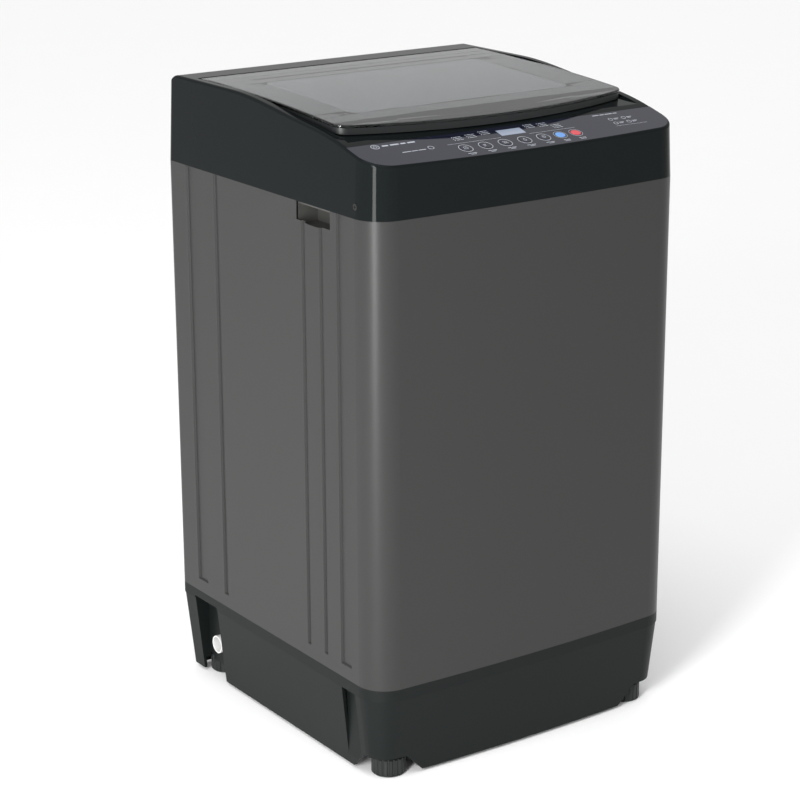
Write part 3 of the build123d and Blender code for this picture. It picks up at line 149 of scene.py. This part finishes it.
def make_grain_group() -> bpy.types.NodeTree:
    """Builds the group for a fine moulded or sprayed grain.

    Returns:
        A group with inputs Size, Coarse and Depth, and the output Height: a fine noise plus
        a coarser one, times Depth.
    """
    group = NodeGroup("surface_grain")
    group.takes("Size", "NodeSocketFloat", 900.0)
    group.takes("Coarse", "NodeSocketFloat", 120.0)
    group.takes("Depth", "NodeSocketFloat", 1.0)
    group.gives("Height", "NodeSocketFloat")
    place = group.node("ShaderNodeTexCoord")
    heights = []
    for size in ("Size", "Coarse"):
        noise = group.node("ShaderNodeTexNoise")
        noise.inputs["Detail"].default_value = 2.0
        group.join(place.outputs["Object"], noise.inputs["Vector"])
        group.join(group.inputs.outputs[size], noise.inputs["Scale"])
        heights.append(noise.outputs["Fac"])
    total = group.node("ShaderNodeMath", operation="ADD")
    group.join(heights[0], total.inputs[0])
    group.join(heights[1], total.inputs[1])
    deep = group.node("ShaderNodeMath", operation="MULTIPLY")
    group.join(total.outputs[0], deep.inputs[0])
    group.join(group.inputs.outputs["Depth"], deep.inputs[1])
    group.join(deep.outputs[0], group.outputs.inputs["Height"])
    return group.tree


def make_streak_group() -> bpy.types.NodeTree:
    """Builds the group for brushed or turned metal: noise stretched along one axis.

    Returns:
        A group with inputs Stretch (a vector that scales Object coordinates) and Depth, and
        the output Height: the stretched noise times Depth.
    """
    group = NodeGroup("metal_streaks")
    group.takes("Stretch", "NodeSocketVector", (10.0, 10.0, 800.0))
    group.takes("Depth", "NodeSocketFloat", 1.0)
    group.gives("Height", "NodeSocketFloat")
    place = group.node("ShaderNodeTexCoord")
    stretched = group.node("ShaderNodeVectorMath", operation="MULTIPLY")
    group.join(place.outputs["Object"], stretched.inputs[0])
    group.join(group.inputs.outputs["Stretch"], stretched.inputs[1])
    noise = group.node("ShaderNodeTexNoise")
    noise.inputs["Scale"].default_value = 1.0
    noise.inputs["Detail"].default_value = 4.0
    group.join(stretched.outputs[0], noise.inputs["Vector"])
    deep = group.node("ShaderNodeMath", operation="MULTIPLY")
    group.join(noise.outputs["Fac"], deep.inputs[0])
    group.join(group.inputs.outputs["Depth"], deep.inputs[1])
    group.join(deep.outputs[0], group.outputs.inputs["Height"])
    return group.tree


DRIFT = make_drift_group()
GRAIN = make_grain_group()
STREAKS = make_streak_group()


# Finishes ------------------------------------------------------------------------


class Relief(Enum):
    """What fine relief a finish has."""

    NONE = "none"
    GRAIN = "grain"
    STREAKS = "streaks"


@dataclass(frozen=True)
class Finish:
    """One material of the machine, as numbers for its shader."""

    name: str
    colour: Colour
    roughness: float = 0.4
    metallic: float = 0.0
    specular: float = 0.5
    coat: float = 0.0
    coat_roughness: float = 0.05
    transmission: float = 0.0
    ior: float = 1.5
    spread: float = 0.08
    drift_size: float = 5.0
    relief: Relief = Relief.GRAIN
    relief_size: float = 900.0
    relief_coarse: float = 120.0
    relief_depth: float = 1.0
    relief_distance: float = 0.00004
    stretch: Colour = (10.0, 10.0, 800.0)
    emission: float = 0.0
    alpha: float = 1.0

    def build(self) -> bpy.types.Material:
        """Makes the Blender material.

        Returns:
            A node material whose colour and roughness drift slowly and whose normal has
            the finish's relief.
        """
        made = bpy.data.materials.new(self.name)
        made.use_nodes = True
        tree = made.node_tree
        shader = tree.nodes["Principled BSDF"]
        shader.inputs["Metallic"].default_value = self.metallic
        shader.inputs["Specular IOR Level"].default_value = self.specular
        shader.inputs["Coat Weight"].default_value = self.coat
        shader.inputs["Coat Roughness"].default_value = self.coat_roughness
        shader.inputs["Transmission Weight"].default_value = self.transmission
        shader.inputs["IOR"].default_value = self.ior
        shader.inputs["Alpha"].default_value = self.alpha
        drift = tree.nodes.new("ShaderNodeGroup")
        drift.node_tree = DRIFT
        drift.inputs["Colour"].default_value = (*self.colour, 1.0)
        drift.inputs["Spread"].default_value = self.spread
        drift.inputs["Size"].default_value = self.drift_size
        drift.inputs["Roughness"].default_value = self.roughness
        tree.links.new(drift.outputs["Colour"], shader.inputs["Base Color"])
        tree.links.new(drift.outputs["Roughness"], shader.inputs["Roughness"])
        if self.emission > 0.0:
            tree.links.new(drift.outputs["Colour"], shader.inputs["Emission Color"])
            shader.inputs["Emission Strength"].default_value = self.emission
        if self.relief is not Relief.NONE:
            self.add_relief(tree, shader)
        return made

    def add_relief(self, tree: bpy.types.NodeTree, shader: bpy.types.Node) -> None:
        """Joins the finish's fine relief to the shader's normal.

        Args:
            tree: the material's node tree.
            shader: its Principled BSDF.
        """
        relief = tree.nodes.new("ShaderNodeGroup")
        if self.relief is Relief.GRAIN:
            relief.node_tree = GRAIN
            relief.inputs["Size"].default_value = self.relief_size
            relief.inputs["Coarse"].default_value = self.relief_coarse
        else:
            relief.node_tree = STREAKS
            relief.inputs["Stretch"].default_value = self.stretch
        relief.inputs["Depth"].default_value = self.relief_depth
        bump = tree.nodes.new("ShaderNodeBump")
        bump.inputs["Distance"].default_value = self.relief_distance
        bump.inputs["Strength"].default_value = 1.0
        tree.links.new(relief.outputs["Height"], bump.inputs["Height"])
        tree.links.new(bump.outputs["Normal"], shader.inputs["Normal"])


FINISHES = {
    "cabinet_paint": Finish("cabinet_paint", grey(0.028, 0.01), 0.34, specular=0.2, spread=0.03,
                            relief_size=620.0, relief_coarse=150.0, relief_distance=0.00002),
    "cup_grey": Finish("cup_grey", (0.045, 0.0445, 0.041), 0.5, spread=0.08),
    "cover_gloss": Finish("cover_gloss", (0.0062, 0.0078, 0.0080), 0.06, specular=0.05, spread=0.1,
                          relief_size=40.0, relief_coarse=9.0, relief_distance=0.00001),
    "fascia_film": Finish("fascia_film", (0.006, 0.0072, 0.018), 0.05, specular=0.5, spread=0.1,
                          relief_size=40.0, relief_coarse=9.0, relief_distance=0.000006),
    "base_plastic": Finish("base_plastic", (0.0055, 0.0074, 0.0070), 0.46, specular=0.14, spread=0.12,
                           relief_size=1400.0, relief_coarse=420.0, relief_distance=0.00005),
    "foot_plastic": Finish("foot_plastic", (0.011, 0.0125, 0.0125), 0.45, specular=0.3, spread=0.12,
                           relief_size=1200.0, relief_coarse=300.0, relief_distance=0.00006),
    "black_plastic": Finish("black_plastic", (0.009, 0.0105, 0.0108), 0.4, specular=0.35, spread=0.12,
                            relief_size=1300.0, relief_coarse=380.0, relief_distance=0.00005),
    "white_plastic": Finish("white_plastic", (0.58, 0.58, 0.57), 0.35, spread=0.05),
    "grey_plastic": Finish("grey_plastic", grey(0.33), 0.38, spread=0.06),
    "light_grey_plastic": Finish("light_grey_plastic", grey(0.56), 0.3, spread=0.05),
    "tub_plastic": Finish("tub_plastic", grey(0.68), 0.45, spread=0.06),
    "rubber_black": Finish("rubber_black", grey(0.02), 0.7, spread=0.15),
    "display_lens": Finish("display_lens", (0.19, 0.22, 0.28), 0.12, spread=0.05, emission=0.5,
                           relief=Relief.NONE),
    "circuit_board": Finish("circuit_board", (0.02, 0.13, 0.05), 0.45, spread=0.15),
    "tempered_glass": Finish("tempered_glass", (0.78, 0.80, 0.81), 0.0, transmission=1.0,
                             ior=1.37, spread=0.0, relief=Relief.NONE),
    "zinc_sheet": Finish("zinc_sheet", grey(0.55), 0.35, metallic=1.0, spread=0.2, drift_size=60.0),
    "zinc_fastener": Finish("zinc_fastener", grey(0.5), 0.3, metallic=1.0, spread=0.15, drift_size=80.0),
    "dark_fastener": Finish("dark_fastener", grey(0.06), 0.25, metallic=1.0, spread=0.15, drift_size=80.0),
    "steel": Finish("steel", grey(0.55), 0.28, metallic=1.0, relief=Relief.STREAKS,
                    stretch=(40.0, 40.0, 2400.0), relief_distance=0.00001),
    "drum_steel": Finish("drum_steel", grey(0.62), 0.2, metallic=1.0, relief=Relief.STREAKS,
                         stretch=(30.0, 30.0, 1800.0), relief_distance=0.00001),
    "bearing_steel": Finish("bearing_steel", grey(0.6), 0.15, metallic=1.0, relief=Relief.NONE),
    "cast_aluminium": Finish("cast_aluminium", grey(0.52), 0.5, metallic=1.0, spread=0.1,
                             relief_size=500.0, relief_coarse=180.0, relief_distance=0.0002),
    "motor_shell": Finish("motor_shell", grey(0.4), 0.4, metallic=1.0, relief=Relief.STREAKS,
                          stretch=(300.0, 300.0, 30.0), relief_distance=0.00002),
    "button_film": Finish("button_film", (0.006, 0.0072, 0.018), 0.1, relief=Relief.NONE),
    "button_blue": Finish("button_blue", (0.12, 0.30, 0.68), 0.22, relief=Relief.NONE),
    "button_red": Finish("button_red", (0.60, 0.055, 0.07), 0.22, relief=Relief.NONE),
    "panel_ink": Finish("panel_ink", (0.40, 0.42, 0.47), 0.5, relief=Relief.NONE),
    # Painted light: a light grey, half see-through sheet that lightens the lid's window in place of the lit
    # inside seen through the glass.
    "window_painted_light": Finish("window_painted_light", (0.30, 0.32, 0.335), 0.5, alpha=0.55, relief=Relief.NONE),
    "floor": Finish("floor", grey(0.93), 0.6, specular=0.2, spread=0.01, relief=Relief.NONE),
}
MATERIALS = {name: finish.build() for name, finish in FINISHES.items()}


def dress(piece: bpy.types.Object, finish: str) -> None:
    """Gives a piece one finish in place of whatever it had."""
    piece.data.materials.clear()
    piece.data.materials.append(MATERIALS[finish])


def dress_frame() -> None:
    """Gives every CAD node the finish of its material slot."""
    slots = {row["node"]: row["material_slot"] for row in frame["record"]["subparts"]}
    for name, node in frame["nodes"].items():
        dress(node, slots[name])


# Studio --------------------------------------------------------------------------


@dataclass
class Studio:
    """Floor, light and camera. None of them is part of the machine."""

    floor_half: float = 30.0
    camera_place: Colour = (-1.92799, -2.69614, 1.49362)
    camera_heading: float = 35.0046
    camera_fall: float = 17.2935
    camera_roll: float = -0.232
    lens: float = 103.52
    world_level: float = 0.62
    overhead_power: float = 1.36
    overhead_spread: float = 50.0
    lamps: list[tuple[str, Colour, Colour, float, float, float]] = field(default_factory=list)

    def build(self) -> None:
        """Makes the floor, the world light, the lamps and the camera."""
        self.make_floor()
        self.make_world()
        self.make_overhead()
        for lamp in self.lamps:
            self.make_lamp(*lamp)
        self.make_camera()

    def make_floor(self) -> None:
        """Lays a plain pale floor at height zero."""
        edge = self.floor_half
        mesh = bpy.data.meshes.new("studio_floor")
        mesh.from_pydata([(-edge, -edge, 0), (edge, -edge, 0), (edge, edge, 0), (-edge, edge, 0)], [],
                         [(0, 1, 2, 3)])
        floor = bpy.data.objects.new("studio_floor", mesh)
        bpy.context.scene.collection.objects.link(floor)
        dress(floor, "floor")

    def make_world(self) -> None:
        """Fills the surroundings with even white light."""
        world = bpy.data.worlds.new("studio_light")
        world.use_nodes = True
        sky = world.node_tree.nodes["Background"]
        sky.inputs["Color"].default_value = (1.0, 1.0, 1.0, 1.0)
        sky.inputs["Strength"].default_value = self.world_level
        bpy.context.scene.world = world
        bpy.context.scene.view_settings.view_transform = "Standard"

    def make_overhead(self) -> None:
        """Adds a wide, even light from above."""
        data = bpy.data.lights.new("overhead", "SUN")
        data.energy = self.overhead_power
        data.angle = math.radians(self.overhead_spread)
        overhead = bpy.data.objects.new("overhead", data)
        bpy.context.scene.collection.objects.link(overhead)
        overhead.rotation_euler = (math.radians(10.0), math.radians(-8.0), 0.0)

    def make_lamp(self, name: str, place: Colour, aim: Colour, across: float, tall: float,
                  power: float) -> None:
        """Adds one rectangular soft lamp.

        Args:
            name: the lamp's name.
            place: where it stands, in metres.
            aim: the point it faces.
            across: its width in metres.
            tall: its height in metres.
            power: its power in watts.
        """
        data = bpy.data.lights.new(name, "AREA")
        data.shape = "RECTANGLE"
        data.size = across
        data.size_y = tall
        data.energy = power
        lamp = bpy.data.objects.new(name, data)
        bpy.context.scene.collection.objects.link(lamp)
        lamp.location = place
        toward = np.array(aim) - np.array(place)
        heading = math.atan2(toward[0], -toward[1])
        fall = math.atan2(toward[2], math.hypot(toward[0], toward[1]))
        lamp.rotation_euler = (math.pi / 2 + fall, 0.0, heading + math.pi)

    def make_camera(self) -> None:
        """Stands the camera front left of the machine, a little above it."""
        data = bpy.data.cameras.new("camera")
        data.lens = self.lens
        data.sensor_width = 36.0
        camera = bpy.data.objects.new("camera", data)
        bpy.context.scene.collection.objects.link(camera)
        camera.location = self.camera_place
        turn = Euler((math.radians(90.0 - self.camera_fall), 0.0, -math.radians(self.camera_heading)))
        tilt = Matrix.Rotation(math.radians(self.camera_roll), 3, "Z")
        camera.rotation_euler = (turn.to_matrix() @ tilt).to_euler()
        bpy.context.scene.camera = camera


# Surfaces ------------------------------------------------------------------------


def make_surface(name: str, grid: np.ndarray, around: bool, ends: bool = True) -> bpy.types.Object:
    """Makes a piece from a grid of points, one row of quads between each two rows of points.

    Args:
        name: the piece's name.
        grid: points of shape (rows, columns, 3), in metres.
        around: whether the last column joins the first.
        ends: whether the first and last rows are closed with one face each.

    Returns:
        The new object, shaded smooth, at the origin.
    """
    rows, columns = grid.shape[:2]
    index = np.arange(rows * columns).reshape(rows, columns)
    if around:
        index = np.concatenate([index, index[:, :1]], axis=1)
    quads = np.stack([index[:-1, :-1], index[:-1, 1:], index[1:, 1:], index[1:, :-1]], axis=-1)
    faces = quads.reshape(-1, 4).tolist()
    if ends:
        faces.append(np.arange(columns)[::-1].tolist())
        faces.append(((rows - 1) * columns + np.arange(columns)).tolist())
    mesh = bpy.data.meshes.new(name)
    mesh.from_pydata(grid.reshape(-1, 3).tolist(), [], faces)
    mesh.polygons.foreach_set("use_smooth", [True] * len(mesh.polygons))
    mesh.update()
    piece = bpy.data.objects.new(name, mesh)
    bpy.context.scene.collection.objects.link(piece)
    return piece


def join_pieces(name: str, pieces: list[bpy.types.Object]) -> bpy.types.Object:
    """Joins several new objects into one mesh object.

    Args:
        name: the name of the result.
        pieces: the objects to join; they are removed.

    Returns:
        One object that holds all their faces.
    """
    points = []
    faces = []
    for piece in pieces:
        mesh = piece.data
        start = len(points)
        points.extend(vertex.co[:] for vertex in mesh.vertices)
        faces.extend([start + corner for corner in face.vertices] for face in mesh.polygons)
        bpy.data.objects.remove(piece)
        bpy.data.meshes.remove(mesh)
    whole = bpy.data.meshes.new(name)
    whole.from_pydata(points, [], faces)
    whole.update()
    joined = bpy.data.objects.new(name, whole)
    bpy.context.scene.collection.objects.link(joined)
    return joined


@dataclass
class LidPane:
    """The lid's tempered glass: a bowed plate with a ground and polished edge."""

    half_width: float = 0.250
    rear: float = 0.2035
    front_middle: float = -0.193
    front_side: float = -0.156
    front_corner: float = 0.023
    rear_corner: float = 0.002
    thickness: float = 0.004
    heights: Colour = (0.926, 0.9408, 0.946)
    height_places: Colour = (-0.195, 0.0, 0.208)

    def bow(self, y: np.ndarray) -> np.ndarray:
        """Height of the top face at y: the circle through the three stated heights."""
        places = np.array(self.height_places)
        heights = np.array(self.heights)
        system = np.stack([places, heights, np.ones(3)], axis=1)
        centre_y, centre_z, rest = np.linalg.solve(2 * system * [1, 1, 0.5], places**2 + heights**2)
        radius_squared = rest + centre_y**2 + centre_z**2
        return centre_z + np.sqrt(radius_squared - (y - centre_y) ** 2)

    def outline(self, inset: float, count: int = 72) -> np.ndarray:
        """The plate's outline moved inward, anticlockwise from the rear right corner.

        Args:
            inset: how far inside the true edge, in metres.
            count: points on the front edge.

        Returns:
            Points of shape (n, 2): two small rear corners, and a bowed front edge
            between two larger corners whose arcs meet the side and the bow.
        """
        side = self.half_width - inset
        bow_rise = self.front_side - self.front_middle
        radius = (self.half_width**2 + bow_rise**2) / (2 * bow_rise)
        centre_y = self.front_middle + radius
        corner = max(self.front_corner - inset, 0.001)
        corner_x = side - corner
        corner_y = centre_y - math.sqrt((radius - inset - corner) ** 2 - corner_x**2)
        swing = math.atan2(corner_x, centre_y - corner_y)
        turn = np.linspace(math.pi, math.pi * 1.5 - swing, 14)
        left = np.stack([-corner_x + corner * np.cos(turn), corner_y + corner * np.sin(turn)], axis=1)
        sweep = np.linspace(-swing, swing, count)[1:-1]
        reach = radius - inset
        front = np.stack([reach * np.sin(sweep), centre_y - reach * np.cos(sweep)], axis=1)
        right = left[::-1] * [-1.0, 1.0]
        back_corner = max(self.rear_corner - inset, 0.0003)
        arc = np.linspace(0.0, math.pi / 2, 5)
        rear_y = self.rear - inset - back_corner
        rear = np.stack([side - back_corner + back_corner * np.cos(arc),
                         rear_y + back_corner * np.sin(arc)], axis=1)
        up = np.linspace(corner_y, rear_y, 42)[1:-1]
        right_side = np.stack([np.full_like(up, side), up], axis=1)
        across = np.linspace(rear[-1, 0], -rear[-1, 0], 52)[1:-1]
        back = np.stack([across, np.full_like(across, self.rear - inset)], axis=1)
        left_side = right_side[::-1] * [-1.0, 1.0]
        rear_left = rear[::-1] * [-1.0, 1.0]
        return np.concatenate([rear, back, rear_left, left_side, left, front, right, right_side])

    def build(self) -> bpy.types.Object:
        """Builds the plate.

        Returns:
            The glass, riding on the lid in place of its CAD plate. Rings of the outline
            run from the middle of the top face, over the rounded edge, to the middle of
            the underside; each ring's height is the bow's height plus its own drop.
        """
        inner = self.outline(0.0012)
        shares = np.array([0.002, 0.12, 0.24, 0.36, 0.48, 0.6, 0.7, 0.8, 0.88, 0.94, 0.98, 1.0])
        edge = [(0.0006, 0.00012), (0.0002, 0.0005), (0.0, 0.0012), (0.0, self.thickness - 0.0012),
                (0.0002, self.thickness - 0.0005), (0.0006, self.thickness - 0.00012)]
        rings = [(inner * share, 0.0) for share in shares]
        rings += [(self.outline(inset), drop) for inset, drop in edge]
        rings += [(inner * share, self.thickness) for share in shares[::-1]]
        grid = np.stack([np.column_stack([ring, self.bow(ring[:, 1]) - drop]) for ring, drop in rings])
        pane = make_surface("lid_pane", grid[::-1], around=True)
        dress(pane, "tempered_glass")
        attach(pane, "lid")
        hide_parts("lid_glass")
        return pane


@dataclass
class WindowPaintedLight:
    """A light grey, half see-through sheet under the glass, inside the lid's window: painted light that
    stands in for the lit inside of the machine seen through the glass.
    """

    pane: LidPane
    half_width: float = 0.1915
    front: float = -0.1045
    rear: float = 0.1235
    corner: float = 0.014
    drop: float = 0.0042
    thickness: float = 0.0003

    def build(self) -> bpy.types.Object:
        """Builds the painted light sheet.

        Returns:
            The sheet, riding on the lid. Rings of a rounded rectangle run from the middle of
            its top to the middle of its underside, at the glass's own bow.
        """
        turn = np.linspace(0.0, math.pi / 2, 8)
        arc = np.stack([np.cos(turn), np.sin(turn)], axis=1) * self.corner
        half = np.array([self.half_width, (self.rear - self.front) / 2]) - self.corner
        signs = np.array([(1, 1), (-1, 1), (-1, -1), (1, -1)])
        corners = [sign * (half + (arc if sign.prod() > 0 else arc[::-1])) for sign in signs]
        outline = np.concatenate(corners)
        middle = np.array([0.0, (self.rear + self.front) / 2])
        shares = np.linspace(0.02, 1.0, 20)
        rings = [(middle + outline * share, self.drop) for share in shares]
        rings += [(middle + outline * share, self.drop + self.thickness) for share in shares[::-1]]
        grid = np.stack([np.column_stack([ring, self.pane.bow(ring[:, 1]) - drop]) for ring, drop in rings])
        # The sheet's light grey paints the brightness of the lit inside seen through the window.
        film = make_surface("lid_window_film", grid[::-1], around=True)
        dress(film, "window_painted_light")
        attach(film, "lid")
        return film


PRINT_LIFT = 0.00002  # gap between the panel's face and a mark's underside, in metres


@dataclass
class PanelPrint:
    """Marks printed on the control panel: rings, lines, dots and plain bars."""

    slope: float = 0.272
    level: float = 0.911
    level_place: float = -0.190
    cap_lift: float = 0.00053
    thick: float = 0.00012

    def lay(self, flat: np.ndarray, lift: float) -> np.ndarray:
        """Lays points (x, y along the panel's plan) on the panel, lift above its face."""
        tilt = math.atan(self.slope)
        x, y = flat[..., 0], flat[..., 1]
        z = self.level + self.slope * (y - self.level_place)
        return np.stack([x, y - math.sin(tilt) * lift, z + math.cos(tilt) * lift], axis=-1)

    def band(self, inner: np.ndarray, outer: np.ndarray, around: bool, lift: float) -> bpy.types.Object:
        """A thin slab between two lines of points of equal count.

        Args:
            inner: points of one edge, shape (n, 2).
            outer: points of the other edge, shape (n, 2).
            around: whether the lines are closed loops.
            lift: height of its underside above the panel, in metres.

        Returns:
            The slab's object: a four-cornered section carried along the lines.
        """
        top = lift + self.thick
        section = np.stack([self.lay(inner, top), self.lay(outer, top), self.lay(outer, lift),
                            self.lay(inner, lift)], axis=1)
        if around:
            section = np.concatenate([section, section[:1]], axis=0)
        return make_surface("mark", section, around=True, ends=not around)

    def ring(self, x: float, y: float, radius: float, width: float,
             lift: float = PRINT_LIFT) -> bpy.types.Object:
        """A circle line of the given width round (x, y)."""
        turn = np.linspace(0.0, 2 * math.pi, 49)[:-1]
        circle = np.stack([np.cos(turn), np.sin(turn)], axis=1)
        middle = np.array([x, y])
        return self.band(middle + circle * (radius - width), middle + circle * radius, True, lift)

    def line(self, points: list[tuple[float, float]], width: float,
             lift: float = PRINT_LIFT) -> bpy.types.Object:
        """A line of the given width through two or more points."""
        path = np.array(points)
        along = np.gradient(path, axis=0)
        along /= np.linalg.norm(along, axis=1, keepdims=True)
        across = np.stack([-along[:, 1], along[:, 0]], axis=1) * width / 2
        return self.band(path - across, path + across, False, lift)

    def bars(self, x: float, y: float, widths: tuple[float, ...], height: float) -> list[bpy.types.Object]:
        """A row of plain bars that starts at x, with gaps a bar's height wide."""
        starts = x + np.concatenate([[0.0], np.cumsum(np.array(widths) + height)[:-1]])
        return [self.line([(start, y), (start + width, y)], height) for start, width in zip(starts, widths)]

    def glyph(self, kind: int, x: float, y: float) -> list[bpy.types.Object]:
        """A small plain sign inside a touch ring.

        Args:
            kind: 0 dial, 1 water level, 2 waves, 3 drop, 4 whirl.
            x: middle in metres.
            y: middle in metres.

        Returns:
            The sign's pieces.
        """
        reach = np.linspace(-1.0, 1.0, 17)
        if kind == 0:
            return [self.ring(x, y, 0.0036, 0.0006, self.cap_lift),
                    self.line([(x, y), (x + 0.0018, y + 0.0022)], 0.0007, self.cap_lift)]
        if kind == 1:
            steps = [(-0.0022, 0.0026), (0.0, 0.0038), (0.0022, 0.005)]
            return [self.line([(x - 0.0034, y + row), (x - 0.0034 + length, y + row)], 0.0008,
                              self.cap_lift) for row, length in steps]
        if kind == 2:
            rows = (-0.0018, 0.0018)
            return [self.line([(x + 0.0036 * r, y + row + 0.0008 * math.sin(r * math.tau)) for r in reach],
                              0.0007, self.cap_lift) for row in rows]
        if kind == 3:
            turn = np.linspace(0.0, math.tau, 33)
            wide = 0.0024 * np.sin(turn) * np.sin(turn / 2)
            tall = 0.0034 * np.cos(turn)
            return [self.line(np.stack([x + wide, y + tall], axis=1).tolist(), 0.0006, self.cap_lift)]
        turn = np.linspace(0.0, 2.6 * math.pi, 33)
        spread = 0.0008 + 0.0028 * turn / turn[-1]
        path = np.stack([x + spread * np.cos(turn), y + spread * np.sin(turn)], axis=1)
        return [self.line(path.tolist(), 0.0006, self.cap_lift)]

    def build(self) -> bpy.types.Object:
        """Builds all the marks as one piece on the cabinet.

        Returns:
            The printed marks.
        """
        row = -0.2435
        touch = (-0.1005, -0.067, -0.0335, 0.0, 0.033)
        marks = []
        for kind, x in enumerate(touch):
            marks.append(self.ring(x, row, 0.0104, 0.0008))
            marks.extend(self.glyph(kind, x, row))
            marks.extend(self.bars(x - 0.007, row - 0.0155, (0.0055, 0.0075), 0.0012))
            marks.extend(self.bars(x - 0.004, row - 0.0185, (0.0085,), 0.0010))
        for x in (0.0625, 0.090):
            marks.append(self.ring(x, row, 0.0101, 0.0005))
            marks.extend(self.bars(x - 0.006, row - 0.0155, (0.0045, 0.0055), 0.0012))
            marks.extend(self.bars(x - 0.005, row - 0.0185, (0.0095,), 0.0010))
        for x, y in ((-0.100, -0.219), (-0.076, -0.217), (-0.051, -0.213), (0.028, -0.212), (0.051, -0.213),
                     (0.070, -0.222)):
            for step in (0.0, 0.0042, 0.0084):
                marks.append(self.ring(x, y + step, 0.0009, 0.0009))
                marks.extend(self.bars(x + 0.0028, y + step, (0.0058, 0.0046), 0.0011))
        marks.append(self.line([(-0.120, -0.2285), (-0.030, -0.2285)], 0.00045))
        marks.append(self.line([(0.020, -0.2285), (0.100, -0.2285)], 0.00045))
        marks.append(self.ring(-0.224, -0.2075, 0.0062, 0.0009))
        marks.append(self.ring(-0.224, -0.2075, 0.0030, 0.0007))
        marks.extend(self.bars(-0.213, -0.2075, (0.010, 0.014, 0.008, 0.012), 0.0032))
        marks.extend(self.bars(-0.196, -0.2315, (0.014, 0.009, 0.012), 0.0016))
        marks.append(self.ring(-0.148, -0.2290, 0.0046, 0.0008))
        marks.extend(self.bars(0.152, -0.2045, (0.011, 0.008, 0.013, 0.007), 0.0018))
        for x, y in ((0.172, -0.2205), (0.196, -0.2205), (0.172, -0.2330), (0.196, -0.2330)):
            marks.append(self.ring(x, y, 0.0037, 0.0007))
            marks.extend(self.bars(x + 0.0062, y + 0.0012, (0.0090,), 0.0011))
            marks.extend(self.bars(x + 0.0062, y - 0.0012, (0.0064,), 0.0011))
        marks.append(self.line([(0.166, -0.2415), (0.222, -0.2415)], 0.00045))
        print_piece = join_pieces("panel_marks", marks)
        dress(print_piece, "panel_ink")
        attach(print_piece, "cabinet")
        return print_piece


@dataclass
class SpringCoils:
    """The four hanging springs. The real ones shorten as the tub sinks onto them; these keep the frame's
    height.
    """

    node: str = "suspension_springs"
    drop: float = 0.020

    def build(self) -> bpy.types.Object:
        """Gives the frame's object of the four springs a mesh of its own; the coils keep their height
        whatever the tub's travel.

        Returns:
            The frame's own object of the four springs.
        """
        coils = bpy.data.objects[self.node]
        low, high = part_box(self.node)
        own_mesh(coils)
        return coils


def main() -> None:
    """Builds the looks piece by piece and reports each one."""
    logging.basicConfig(level=logging.INFO, format="%(name)s: %(message)s")
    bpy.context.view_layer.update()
    dress_frame()
    LOG.info("dressed %d frame nodes", len(frame["nodes"]))
    pane = LidPane()
    for maker in (pane, WindowPaintedLight(pane), PanelPrint()):
        piece = maker.build()
        LOG.info("built %s with %d faces", piece.name, len(piece.data.polygons))
    coils = SpringCoils().build()
    LOG.info("the %s shorten as the tub sinks", coils.name)
    Studio(lamps=[
        ("side_softbox", (-2.6, -1.6, 1.0), (0.0, 0.0, 0.5), 0.6, 2.4, 150.0),
    ]).build()


if __name__ == "__main__":
    main()
